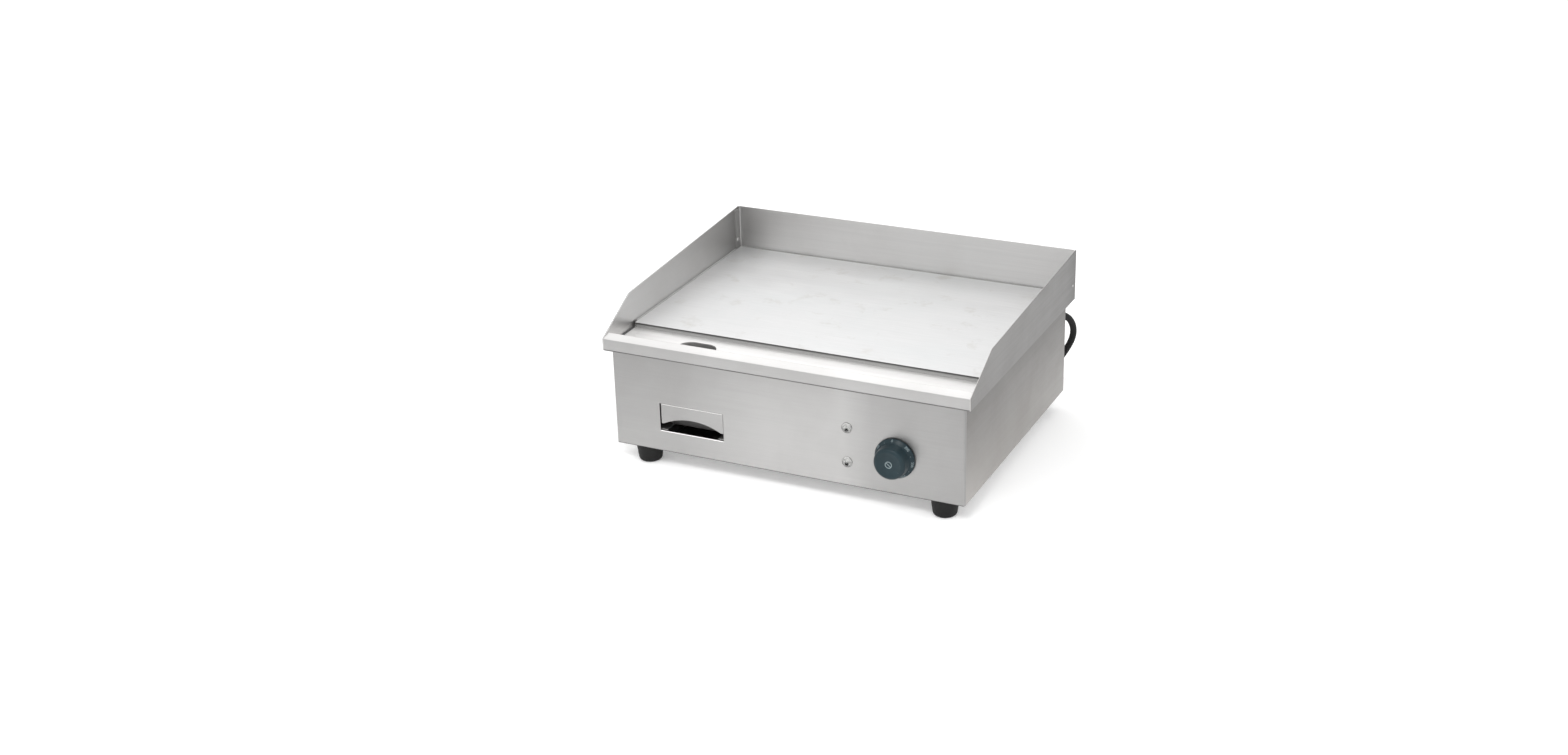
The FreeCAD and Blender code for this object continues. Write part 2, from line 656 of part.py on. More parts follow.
def insulation_pad():
    x0, x1, y0, y1 = SHIELD_BOX
    pad = block(x0 + 2.0, x1 - 2.0, y0 + 2.0, y1 - 2.0, SHIELD_Z + SHEET, PAD_TOP)
    holes = [rod((x, y, SHIELD_Z), (x, y, PAD_TOP + 1), STUD_RADIUS + 1.0) for x, y in stud_places()]
    return pad.cut(group(holes))


# ---- thermostat, limiter, lamps ---------------------------------------------------------------


def thermostat_body():
    """Square housing on a bracket plate, with four blade terminals at the rear."""
    x, z = KNOB_CENTRE
    bracket = block(x - 23.0, x + 23.0, INNER_FRONT, INNER_FRONT + 1.5, z - 20.0, z + 20.0)
    housing = block(x - CONTROL_HALF, x + CONTROL_HALF, INNER_FRONT + 1.5, THERMOSTAT_REAR,
                    z - CONTROL_HALF, z + CONTROL_HALF)
    pieces = [bracket, housing.makeFillet(3.0, deep_edges(housing))]
    for dx in (-11.0, 5.0):
        for dz in (-10.0, 8.0):
            pieces.append(block(x + dx, x + dx + 6.3, THERMOSTAT_REAR - 1.0, THERMOSTAT_REAR + 8.0,
                                z + dz, z + dz + 0.8))
    body = join(pieces)
    body = body.cut(rod((x, INNER_FRONT - 1, z), (x, THERMOSTAT_REAR - 8.0, z), SHAFT_RADIUS + 0.08))
    for side in (-14.0, 14.0):
        body = body.cut(rod((x + side, INNER_FRONT - 1, z), (x + side, INNER_FRONT + 8.0, z), 2.0))
    return body


def thermostat_screws():
    x, z = KNOB_CENTRE
    return group([pan_screw((x + side, BODY_FRONT, z), (0, 1, 0), 3.4, 2.0, 1.95, 8.0) for side in (-14.0, 14.0)])


def probe(kind, end_points):
    """Sensing bulb under the plate with its capillary led to its control."""
    y = BULB_Y[kind]
    bulb = rod((BULB_X[0], y, BULB_Z), (BULB_X[1], y, BULB_Z), BULB_RADIUS)
    points = [(BULB_X[1] - 1.0, y, BULB_Z), (CAPILLARY_X, y, BULB_Z)] + end_points
    line, _, _ = tube(points, CAPILLARY_RADIUS, [WIRE_BEND] * (len(points) - 2))
    return join([bulb, line])


def thermostat_probe():
    x, z = KNOB_CENTRE
    return probe("thermostat", [
        (CAPILLARY_X, BULB_Y["thermostat"], 110.0),
        (CAPILLARY_X, -120.0, z + 14.0),
        (x + 14.0, -120.0, z + 14.0),
        (x + 14.0, THERMOSTAT_REAR, z + 14.0),
    ])


def limiter_probe():
    x, z = LIMITER_CENTRE
    return probe("limiter", [
        (CAPILLARY_X, BULB_Y["limiter"], 90.0),
        (x + 10.0, BULB_Y["limiter"], 90.0),
        (x + 10.0, BULB_Y["limiter"] + 40.0, z + 10.0),
        (x + 10.0, LIMITER_REAR, z + 10.0),
    ])


def bulb_clips():
    """Saddles that hold the two bulbs against the plate."""
    clips = []
    for y in BULB_Y.values():
        for x in (78.0, 116.0):
            drop = BULB_Z - BULB_RADIUS - 0.6
            top = TROUGH_FLOOR - 0.5
            wide = BULB_RADIUS + 0.8
            clips.append(sheet_along_x([(y - 11.0, top), (y - wide, top), (y - wide, drop),
                                        (y + wide, drop), (y + wide, top), (y + 11.0, top)],
                                       0.8, 0.3, x, x + 10.0))
    return group(clips)


def limiter_body():
    """Manual-reset cut-out: housing, threaded bush through the back panel, two terminals."""
    x, z = LIMITER_CENTRE
    housing = block(x - LIMITER_HALF, x + LIMITER_HALF, LIMITER_REAR, INNER_BACK,
                    z - LIMITER_HALF, z + LIMITER_HALF)
    bush = rod((x, INNER_BACK - 1.0, z), (x, BUSH_END, z), 5.0)
    pieces = [housing.makeFillet(2.0, deep_edges(housing)), bush]
    for dx in (-9.0, 2.0):
        pieces.append(block(x + dx, x + dx + 6.3, LIMITER_REAR - 8.0, LIMITER_REAR + 1.0, z - 8.4, z - 7.6))
    bore = rod((x, BUTTON_END - BUTTON_TRAVEL - 1.0, z), (x, BUSH_END + 1, z), BUTTON_RADIUS + 0.08)
    return join(pieces).cut(bore)


def limiter_nut():
    x, z = LIMITER_CENTRE
    return hexagon_nut((x, BODY_BACK, z), (0, 1, 0), 14.0, 3.0, 5.05)


def reset_button():
    x, z = LIMITER_CENTRE
    return turned([(0, 0), (BUTTON_RADIUS, 0), (BUTTON_RADIUS, 21.2), (BUTTON_RADIUS - 0.6, 21.9),
                   (0, 22.1)], (x, BUTTON_END, z), (0, 1, 0))


def lamp_lens(z):
    """Clear lens: collar on the panel, low dome in front, neck through the hole."""
    lip = Part.makePolygon([
        Vector(5.5, 0, 1.4),
        Vector(LENS_RADIUS, 0, 1.0),
        Vector(LENS_RADIUS, 0, 0),
        Vector(4.9, 0, 0),
        Vector(4.9, 0, -SHEET),
        Vector(0, 0, -SHEET),
        Vector(0, 0, 4.4),
    ]).Edges
    dome = Part.Arc(Vector(0, 0, 4.4), Vector(3.9, 0, 3.5), Vector(5.5, 0, 1.4)).toShape()
    face = Part.Face(Part.Wire(Part.__sortEdges__(lip + [dome])))
    lens = face.revolve(Vector(0, 0, 0), Vector(0, 0, 1), 360)
    lens.Placement = FreeCAD.Placement(Vector(LAMP_X, BODY_FRONT, z),
                                       FreeCAD.Rotation(Vector(0, 0, 1), Vector(0, -1, 0)))
    return lens


def lamp_body(z):
    barrel = turned([(0, 0), (6.4, 0), (6.4, 3.0), (5.6, 4.0), (5.6, LAMP_BODY_LENGTH), (0, LAMP_BODY_LENGTH)],
                    (LAMP_X, INNER_FRONT, z), (0, 1, 0))
    rear = INNER_FRONT + LAMP_BODY_LENGTH
    blades = [block(LAMP_X + dx - 0.4, LAMP_X + dx + 0.4, rear - 1.0, rear + 8.0, z - 2.4, z + 2.4)
              for dx in (-2.6, 2.6)]
    return join([barrel] + blades)


def lamp_clips():
    """Spring collars that hold the lamp bodies."""
    clips = []
    for z in LAMPS.values():
        ring = rod((LAMP_X, INNER_FRONT + 6.0, z), (LAMP_X, INNER_FRONT + 7.0, z), 8.5)
        ring = ring.cut(rod((LAMP_X, INNER_FRONT + 5.0, z), (LAMP_X, INNER_FRONT + 8.0, z), 5.65))
        clips.append(ring.cut(block(LAMP_X - 1.5, LAMP_X + 1.5, INNER_FRONT + 5.0, INNER_FRONT + 8.0, z, z + 9.0)))
    return group(clips)


def control_knob():
    """Skirted round knob, hollow behind, with a hub that grips the shaft."""
    hollow_radius = GRIP_RADIUS - 3.0
    edge_radius = 3.5
    bevel_start = Vector(GRIP_RADIUS, 0, KNOB_DEPTH - edge_radius)
    bevel_end = Vector(GRIP_RADIUS - edge_radius, 0, KNOB_DEPTH)
    lean = edge_radius * (1 - math.sqrt(0.5))
    outline = Part.makePolygon([
        bevel_end,
        Vector(0, 0, KNOB_DEPTH),
        Vector(0, 0, KNOB_DEPTH - 4.0),
        Vector(hollow_radius, 0, KNOB_DEPTH - 4.0),
        Vector(hollow_radius, 0, KNOB_GAP),
        Vector(KNOB_RADIUS - 0.6, 0, KNOB_GAP),
        Vector(KNOB_RADIUS, 0, KNOB_GAP + 0.6),
        Vector(KNOB_RADIUS, 0, KNOB_GAP + 2.2),
        Vector(SKIRT_FRONT_RADIUS, 0, SKIRT_FRONT),
        Vector(GRIP_RADIUS + 0.5, 0, SKIRT_FRONT + 0.6),
        bevel_start,
    ]).Edges
    bevel = Part.Arc(bevel_start, Vector(GRIP_RADIUS - lean, 0, KNOB_DEPTH - lean), bevel_end).toShape()
    face = Part.Face(Part.Wire(Part.__sortEdges__(outline + [bevel])))
    shell = face.revolve(Vector(0, 0, 0), Vector(0, 0, 1), 360)
    hub = Part.makeCylinder(HUB_RADIUS, KNOB_DEPTH - 3.0 - 4.0, Vector(0, 0, 4.0))
    knob = join([shell, hub]).cut(Part.makeCylinder(SHAFT_RADIUS + 0.02, 13.0, Vector(0, 0, 2.0)))
    knob.Placement = FreeCAD.Placement(Vector(KNOB_CENTRE[0], BODY_FRONT, KNOB_CENTRE[1]),
                                       FreeCAD.Rotation(Vector(0, 0, 1), Vector(0, -1, 0)))
    return knob


def thermostat_shaft():
    """Shaft with a flat where the knob grips it."""
    x, z = KNOB_CENTRE
    tip = BODY_FRONT - 14.5
    shaft = rod((x, tip, z), (x, THERMOSTAT_REAR - 9.0, z), SHAFT_RADIUS)
    return shaft.cut(block(x - 5, x + 5, tip - 1, BODY_FRONT - 5.0, z + SHAFT_RADIUS - 1.2, z + 5))


# ---- grease drawer -----------------------------------------------------------------------------
def drawer_box():
    """Open-topped catch tray, set back behind the finger arch."""
    x0, x1, z0, z1 = DRAWER_BOX
    tray = block(x0, x1, DRAWER_WELL_FRONT, DRAWER_REAR, z0, z1)
    tray = tray.makeFillet(3.0, upright_edges(tray))
    cavity = block(x0 + DRAWER_SHEET, x1 - DRAWER_SHEET, DRAWER_WELL_FRONT + DRAWER_SHEET,
                   DRAWER_REAR - DRAWER_SHEET, z0 + DRAWER_SHEET, z1 + 1)
    return tray.cut(cavity.makeFillet(2.0, upright_edges(cavity)))


def drawer_front():
    """Front plate with a finger arch below and two cheeks that hold the tray."""
    x0, x1, _, z1 = DRAWER_OPENING
    middle = (x0 + x1) / 2
    half = (x1 - x0) / 2 - 0.7
    face_y = BODY_FRONT + DRAWER_RECESS
    top = z1 - 0.6
    cheek = DRAWER_SHEET / 2
    line = half - cheek
    front_line = face_y + cheek
    rear = DRAWER_WELL_FRONT + 30.0
    plate = sheet_along_z([(middle - line, rear), (middle - line, front_line), (middle + line, front_line),
                           (middle + line, rear)], DRAWER_SHEET, 0.5, ARCH_FOOT, top)
    rim = block(middle - half + 2.0, middle + half - 2.0, face_y + 0.5, face_y + 9.0, top - DRAWER_SHEET, top)
    radius = (ARCH_HALF ** 2 + ARCH_RISE ** 2) / (2 * ARCH_RISE)
    centre_z = ARCH_FOOT + ARCH_RISE - radius
    arch = rod((middle, face_y - 1, centre_z), (middle, face_y + DRAWER_SHEET + 0.1, centre_z), radius)
    arch = arch.common(block(middle - ARCH_HALF, middle + ARCH_HALF, face_y - 2, face_y + 4,
                             ARCH_FOOT - 1, ARCH_FOOT + ARCH_RISE + 1))
    return join([plate, rim]).cut(arch)


def drawer_rail(side):
    """Z-section runner on the base, with an upturned end that stops the tray."""
    x0, x1, z0, _ = DRAWER_BOX
    edge = x0 if side < 0 else x1
    ledge = z0 - RAIL_CLEARANCE - SHEET / 2
    foot_line = BASE_TOP + SHEET / 2
    web = edge + side * 6.0
    rail = sheet_along_y([(web + side * 18.0, foot_line), (web, foot_line), (web, ledge), (edge - side * 8.0, ledge)],
                         SHEET, 1.0, INNER_FRONT + 1.5, DRAWER_REAR + 2.0)
    a, b = sorted((web - side * 2.0, edge - side * 8.0))
    stop = block(a, b, DRAWER_REAR + 0.6, DRAWER_REAR + 2.0, ledge, ledge + 14.0)
    return join([rail, stop])


# ---- wiring -------------------------------------------------------------------------------------


def terminal_block():
    """Three-pole porcelain block: a clamping screw pocket above each pole and a wire way through it."""
    x0, x1, y0, y1 = TERMINAL_BLOCK
    top = BASE_TOP + TERMINAL_BLOCK_HEIGHT
    body = block(x0, x1, y0, y1, BASE_TOP, top)
    body = body.makeFillet(1.5, [edge for edge in body.Edges if edge.BoundBox.ZMin > top - 0.1])
    for x in POLES:
        for y in (y0 + 6.0, y1 - 6.0):
            body = body.cut(rod((x, y, top - 6.0), (x, y, top + 1), 2.6))
        body = body.cut(rod((x, y0 - 1, BASE_TOP + 9.0), (x, y1 + 1, BASE_TOP + 9.0), WIRE_RADIUS + 0.6))
    return body


def earth_stud():
    x, y = EARTH_STUD
    stud = rod((x, y, BASE_TOP), (x, y, BASE_TOP + 16.0), 2.95)
    washer = rod((x, y, BASE_TOP), (x, y, BASE_TOP + 1.2), 6.0)
    nut = hexagon_nut((x, y, BASE_TOP + 1.2), (0, 0, 1), 10.0, NUT_THICKNESS, 1.0)
    return join([stud, washer, nut])


def wire(points):
    solid, _, _ = tube(points, WIRE_RADIUS, [WIRE_BEND] * (len(points) - 2))
    return solid


def supply_wires():
    """Three cores from the gland down to the terminal block."""
    y1 = TERMINAL_BLOCK[3]
    gx, gz = GLAND_CENTRE
    level = BASE_TOP + 9.0
    cores = []
    for number, x in enumerate(POLES):
        drop_y = 150.0 + 8.0 * number
        start_x = gx + 4.0 * (number - 1)
        cores.append(wire([(start_x, GLAND_INNER, gz), (start_x, drop_y, gz), (x, drop_y, level),
                           (x, y1 - 4.0, level)]))
    return group(cores)


def load_wires():
    """Cores from the terminal block to the thermostat, the limiter and the lamps."""
    y0 = TERMINAL_BLOCK[2]
    level = BASE_TOP + 9.0
    x, z = KNOB_CENTRE
    rear = THERMOSTAT_REAR + 8.0
    lamp_rear = INNER_FRONT + LAMP_BODY_LENGTH + 8.0
    runs = [
        [(POLES[0], y0 + 4.0, level), (POLES[0], 60.0, level), (x - 8.0, 20.0, level), (x - 8.0, -110.0, level),
         (x - 8.0, -130.0, z - 9.6), (x - 8.0, rear, z - 9.6)],
        [(POLES[1], y0 + 4.0, level), (POLES[1], 40.0, level), (x + 8.0, 0.0, level), (x + 8.0, -110.0, level),
         (x + 8.0, -130.0, z - 9.6), (x + 8.0, rear, z - 9.6)],
        [(LAMP_X - 2.6, lamp_rear, LAMPS["lower_lamp"]), (LAMP_X - 2.6, -130.0, LAMPS["lower_lamp"]),
         (LAMP_X - 2.6, -130.0, LAMPS["upper_lamp"]), (LAMP_X - 2.6, lamp_rear, LAMPS["upper_lamp"])],
        [(LAMP_X + 2.6, lamp_rear, LAMPS["upper_lamp"]), (LAMP_X + 2.6, -125.0, LAMPS["upper_lamp"]),
         (x - 8.0, -125.0, z + 8.4), (x - 8.0, rear, z + 8.4)],
    ]
    return group([wire(points) for points in runs])


def element_wires():
    """Cores between the elements, and from them to the terminal block, limiter and thermostat."""
    low = TERMINAL_Z - 12.0
    front_y = ELEMENT_STARTS["front_element"]
    rear_y = ELEMENT_STARTS["rear_element"]
    last_leg = 3 * LEG_SPACING
    block_level = BASE_TOP + 9.0
    x, z = LIMITER_CENTRE
    limiter_rear = LIMITER_REAR - 8.0
    knob_x, knob_z = KNOB_CENTRE
    runs = [
        [(TERMINAL_X, front_y + last_leg, low), (TERMINAL_X, front_y + last_leg, low - 16.0),
         (TERMINAL_X, rear_y, low - 16.0), (TERMINAL_X, rear_y, low)],
        [(TERMINAL_X, front_y, low), (TERMINAL_X, front_y, low - 34.0), (246.0, -38.0, low - 38.0),
         (246.0, 44.0, low - 38.0), (POLES[2], 66.0, block_level), (POLES[2], TERMINAL_BLOCK[2] + 4.0, block_level)],
        [(x - 6.0, limiter_rear, z - 8.0), (x - 6.0, 140.0, z - 8.0), (TERMINAL_X, 140.0, low - 20.0),
         (TERMINAL_X, rear_y + last_leg, low - 20.0), (TERMINAL_X, rear_y + last_leg, low)],
        [(x + 5.2, limiter_rear, z - 8.0), (x + 5.2, 120.0, z - 8.0), (knob_x + 22.0, 60.0, knob_z + 8.4),
         (knob_x + 8.0, -100.0, knob_z + 8.4), (knob_x + 8.0, THERMOSTAT_REAR + 8.0, knob_z + 8.4)],
    ]
    return group([wire(points) for points in runs])


# ---- mains cord ---------------------------------------------------------------------------------


def gland_body():
    """Cable gland: hexagon against the panel, domed cap outside, threaded stem inside."""
    x, z = GLAND_CENTRE
    flange = hexagon_nut((x, BODY_BACK, z), (0, 1, 0), 22.0, 5.0, 1.0)
    cap = turned([(0, 0), (10.5, 0), (10.5, 2.5), (8.6, 6.0), (0, 6.0)], (x, BODY_BACK + 5.0, z), (0, 1, 0))
    stem = rod((x, GLAND_INNER, z), (x, BODY_BACK + 6.0, z), 8.0)
    bore = rod((x, GLAND_INNER - 1, z), (x, INNER_BACK - 1.0, z), 6.0)
    return join([flange, cap, stem]).cut(bore)


def gland_locknut():
    x, z = GLAND_CENTRE
    return hexagon_nut((x, INNER_BACK, z), (0, -1, 0), 22.0, 4.0, 8.05)


def strain_relief():
    """Tapered ribbed boot that the cord leaves through."""
    x, z = GLAND_CENTRE
    length = CORD_START - BOOT_START
    ribs = 4
    profile = [(0, 0), (8.2, 0), (8.2, 2.0)]
    for rib in range(ribs):
        start = 3.0 + rib * (length - 4.0) / ribs
        radius = 7.8 - 0.4 * rib
        profile += [(radius - 0.9, start), (radius - 0.9, start + 1.4), (radius, start + 1.8), (radius - 0.2, start + 5.0)]
    profile += [(5.8, length), (0, length)]
    return turned(profile, (x, BOOT_START, z), (0, 1, 0))


def coil_frame():
    """Middle of the coil, and the heading with which the cord runs into it."""
    before = Vector(*CORD_ROUTE[-2])
    last = Vector(*CORD_ROUTE[-1])
    heading = (last - before).normalize()
    contact = last + heading * COIL_STUB
    toward = Vector(heading.y, -heading.x, 0)
    return contact + toward * COIL_TURN_RADIUS, heading, last


def cord_coil():
    """Two turns on two turns: the outer shape of the put-away length, with its two lead-in ends."""
    centre, heading, last = coil_frame()
    outer = COIL_TURN_RADIUS + CORD_RADIUS
    inner = outer - 4 * CORD_RADIUS
    top = 4 * CORD_RADIUS
    slope = 2.2
    section = [(inner, slope), (inner + slope, 0), (outer - slope, 0), (outer, slope),
               (outer, top - slope), (outer - slope, top), (inner + slope, top), (inner, top - slope)]
    ring = turned(section, (centre.x, centre.y, 0), (0, 0, 1))
    lead_in = Part.makeCylinder(CORD_RADIUS, COIL_STUB, last, heading)
    tail = tail_route()
    lead_out = Part.makeCylinder(CORD_RADIUS, TAIL_RUN, Vector(centre.x, tail[0].y, tail[0].z), Vector(-1, 0, 0))
    return join([ring, lead_in, lead_out])


def tail_route():
    centre, _, _ = coil_frame()
    y = centre.y - COIL_TURN_RADIUS
    x = centre.x - TAIL_RUN
    return [
        Vector(x, y, 3 * CORD_RADIUS),
        Vector(x - 20.0, y, 3 * CORD_RADIUS),
        Vector(x - 45.0, y - 2.0, PLUG_Z),
        Vector(x - 65.0, y - 2.0, PLUG_Z),
    ]


def plug_body():
    """Round two-pin earthed plug with a tapered cord entry and flattened sides."""
    end = tail_route()[-1]
    body = turned([(0, 0), (6.0, 0), (7.6, PLUG_RELIEF - 2.0), (13.0, PLUG_RELIEF + 2.0),
                   (16.5, PLUG_RELIEF + 9.0), (16.5, PLUG_RELIEF + 18.0), (PLUG_RADIUS, PLUG_RELIEF + 20.0),
                   (PLUG_RADIUS, PLUG_RELIEF + PLUG_BODY - 1.0), (PLUG_RADIUS - 1.0, PLUG_RELIEF + PLUG_BODY),
                   (0, PLUG_RELIEF + PLUG_BODY)], tuple(end), (-1, 0, 0))
    x1 = end.x - PLUG_RELIEF
    for side in (-1, 1):
        y0, y1 = sorted((end.y + side * 15.5, end.y + side * 30.0))
        body = body.cut(block(x1 - 34.0, x1 + 5.0, y0, y1, 0, 60.0))
    return body


def plug_pins():
    end = tail_route()[-1]
    face = end.x - PLUG_RELIEF - PLUG_BODY
    pins = []
    for side in (-1, 1):
        pin = turned([(0, 0), (2.4, 0), (2.4, PIN_LENGTH - 1.5), (1.2, PIN_LENGTH), (0, PIN_LENGTH)],
                     (face, end.y, end.z + side * PIN_SPACING / 2), (-1, 0, 0))
        pins.append(pin)
    return group(pins)


# ---- write every node -----------------------------------------------------------------------------
def nodes():
    cord, cord_path, cord_radii = tube(CORD_ROUTE, CORD_RADIUS)
    tail, tail_path, tail_radii = tube([tuple(point) for point in tail_route()], CORD_RADIUS)
    for name, solid, path, radii in (("power_cord", cord, cord_path, cord_radii),
                                     ("cord_tail", tail, tail_path, tail_radii)):
        share = solid.Volume / (math.pi * CORD_RADIUS ** 2 * path.Length)
        print(name, "length", round(path.Length, 1), "volume share", round(share, 4),
              "radii", [round(radius, 1) for radius in radii])
    parts = {
        "base_plate": base_plate(),
        "front_panel": front_panel(),
        "left_side_panel": side_panel(-1),
        "right_side_panel": side_panel(1),
        "back_panel": back_panel(),
        "back_panel_screws": back_screws(),
        "left_guard": side_guard(-1),
        "right_guard": side_guard(1),
        "back_guard": back_guard(),
        "guard_rivets": guard_rivets(),
        "grease_trough": grease_trough(),
        "drip_chute": drip_chute(),
        "griddle_plate": griddle_plate(),
        "plate_gasket": plate_gasket(),
        "plate_studs": plate_studs(),
        "element_clamp_bars": clamp_bars(),
        "stud_nuts": stud_nuts(),
        "insulation_pad": insulation_pad(),
        "heat_shield": heat_shield(),
        "foot_screws": foot_screws(),
        "foot_nuts": foot_nuts(),
        "drawer_rail_left": drawer_rail(-1),
        "drawer_rail_right": drawer_rail(1),
        "drawer_box": drawer_box(),
        "drawer_front": drawer_front(),
        "thermostat_body": thermostat_body(),
        "thermostat_screws": thermostat_screws(),
        "thermostat_probe": thermostat_probe(),
        "thermostat_shaft": thermostat_shaft(),
        "control_knob": control_knob(),
        "limiter_body": limiter_body(),
        "limiter_nut": limiter_nut(),
        "limiter_probe": limiter_probe(),
        "reset_button": reset_button(),
        "bulb_clips": bulb_clips(),
        "lamp_clips": lamp_clips(),
        "terminal_block": terminal_block(),
        "earth_stud": earth_stud(),
        "supply_wires": supply_wires(),
        "load_wires": load_wires(),
        "element_wires": element_wires(),
        "gland_body": gland_body(),
        "gland_locknut": gland_locknut(),
        "strain_relief": strain_relief(),
        "power_cord": cord,
        "cord_coil": cord_coil(),
        "cord_tail": tail,
        "plug_body": plug_body(),
        "plug_pins": plug_pins(),
    }
    for name, first_y in ELEMENT_STARTS.items():
        parts[name] = element(first_y)
    for row, y in FOOT_Y.items():
        for label, x in FOOT_X.items():
            parts["foot_" + row + "_" + label] = foot(x, y)
    for name, z in LAMPS.items():
        parts[name + "_lens"] = lamp_lens(z)
        parts[name + "_body"] = lamp_body(z)
    return parts


os.makedirs("parts", exist_ok=True)
for node, shape in nodes().items():
    if not shape.isValid():
        print("not valid:", node)
    shape.exportStep("parts/" + node + ".step")
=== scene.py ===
"""Looks of the countertop griddle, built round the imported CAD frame.

Lengths are metres on the frame's own axes, unless a comment says millimetres.
"""
import math

import bmesh
import bpy
from mathutils import Matrix, Vector


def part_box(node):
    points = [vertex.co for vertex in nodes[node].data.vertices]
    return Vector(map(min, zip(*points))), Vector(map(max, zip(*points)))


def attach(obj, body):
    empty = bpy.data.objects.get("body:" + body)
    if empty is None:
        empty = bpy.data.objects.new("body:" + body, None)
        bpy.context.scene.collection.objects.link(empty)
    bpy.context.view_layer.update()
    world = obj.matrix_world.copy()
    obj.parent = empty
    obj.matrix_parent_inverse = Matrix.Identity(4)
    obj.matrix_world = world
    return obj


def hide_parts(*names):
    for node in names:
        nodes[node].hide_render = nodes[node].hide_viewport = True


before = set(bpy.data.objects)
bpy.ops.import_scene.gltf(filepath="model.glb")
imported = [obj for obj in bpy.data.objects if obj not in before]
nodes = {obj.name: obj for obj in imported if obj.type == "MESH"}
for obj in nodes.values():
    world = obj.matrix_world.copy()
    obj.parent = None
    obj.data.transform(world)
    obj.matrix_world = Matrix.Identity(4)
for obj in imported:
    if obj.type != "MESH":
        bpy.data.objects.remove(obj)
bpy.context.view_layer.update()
MM = 0.001


# ---- meshes ------------------------------------------------------------------------------
def link(name, mesh, body, material, smooth_angle=35.0):
    """A new piece from a mesh, riding on a CAD body, smooth up to the given angle."""
    piece = bpy.data.objects.new(name, mesh)
    bpy.context.scene.collection.objects.link(piece)
    mesh.materials.append(material)
    mesh.shade_smooth()
    mesh.set_sharp_from_angle(angle=math.radians(smooth_angle))
    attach(piece, body)
    return piece


def mesh_from(name, build):
    """A mesh that the given function fills through bmesh."""
    mesh = bpy.data.meshes.new(name)
    work = bmesh.new()
    build(work)
    bmesh.ops.recalc_face_normals(work, faces=work.faces)
    work.to_mesh(mesh)
    work.free()
    return mesh


def lathe(work, profile, matrix, steps=64):
    """Turns (radius, height) points about matrix's Z axis into a closed surface."""
    rings = []
    for radius, height in profile:
        if radius < 1e-7:
            rings.append([work.verts.new(matrix @ Vector((0, 0, height)))])
            continue
        ring = []
        for step in range(steps):
            angle = 2 * math.pi * step / steps
            point = Vector((radius * math.cos(angle), radius * math.sin(angle), height))
            ring.append(work.verts.new(matrix @ point))
        rings.append(ring)
    for lower, upper in zip(rings, rings[1:]):
        for step in range(steps):
            after = (step + 1) % steps
            corners = [lower[step % len(lower)], lower[after % len(lower)],
                       upper[after % len(upper)], upper[step % len(upper)]]
            unique = list(dict.fromkeys(corners))
            if len(unique) > 2:
                work.faces.new(unique)


def arc(centre, radius, start, end, steps):
    """(radius, height) points on an arc, angles in degrees from outward."""
    points = []
    for step in range(steps + 1):
        angle = math.radians(start + (end - start) * step / steps)
        points.append((centre[0] + radius * math.cos(angle), centre[1] + radius * math.sin(angle)))
    return points


def scaled(profile):
    """A profile in millimetres, brought to metres."""
    return [(radius * MM, height * MM) for radius, height in profile]


def turned(name, profile, place, steps):
    """A mesh turned from a profile in millimetres."""
    return mesh_from(name, lambda work: lathe(work, scaled(profile), place, steps))


def bead(work, start, end, half_side, half_height, steps=12):
    """Rounded strip between two points at one height; all in millimetres."""
    start, end = Vector(start), Vector(end)
    along = (end - start).normalized()
    side = Vector((-along.y, along.x, 0))
    rings = []
    for centre in (start, end):
        ring = []
        for step in range(steps):
            angle = 2 * math.pi * step / steps
            rise = Vector((0, 0, half_height * math.sin(angle)))
            offset = side * half_side * math.cos(angle) + rise
            ring.append(work.verts.new((centre + offset) * MM))
        rings.append(ring)
    for step in range(steps):
        after = (step + 1) % steps
        work.faces.new([rings[0][step], rings[0][after], rings[1][after], rings[1][step]])
    work.faces.new(rings[0])
    work.faces.new(rings[1])


def link_beads(name, body, material, runs):
    """One piece made of beads, each given as start, end, half width and half height."""
    def build(work):
        for run in runs:
            bead(work, *run)

    link(name, mesh_from(name, build), body, MATERIALS[material], 40)


# ---- places ------------------------------------------------------------------------------
PANEL_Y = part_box("front_panel")[0].y


def box_mm(node):
    """Low and high corners of a CAD node's box, in millimetres."""
    low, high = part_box(node)
    return low / MM, high / MM


def facing(origin, normal):
    """Matrix whose Z axis is the given normal and whose origin is the given point."""
    normal = Vector(normal)
    return Matrix.Translation(origin) @ normal.to_track_quat("Z", "Y").to_matrix().to_4x4()


def on_panel(x, z):
    """Place on the front panel: Z points out of it, X to the right and Y up."""
    return Matrix(((1, 0, 0, x), (0, 0, -1, PANEL_Y), (0, 1, 0, z), (0, 0, 0, 1)))


# ---- shader nodes ------------------------------------------------------------------------
MIX_FACTOR, MIX_FIRST, MIX_SECOND, MIX_RESULT = 0, 6, 7, 2     # colour sockets of a Mix node
UPRIGHT, FACING_UP = 0.35, 0.75                                # heights of a face's normal


def feed(tree, socket, value):
    """Links the socket to another socket, or sets its value."""
    if isinstance(value, bpy.types.NodeSocket):
        tree.links.new(value, socket)
    else:
        socket.default_value = value


def grey(value, warmth=0.0):
    return (value * (1 + warmth), value, value * (1 - warmth), 1.0)


def opaque(parts):
    return (*parts, 1.0)


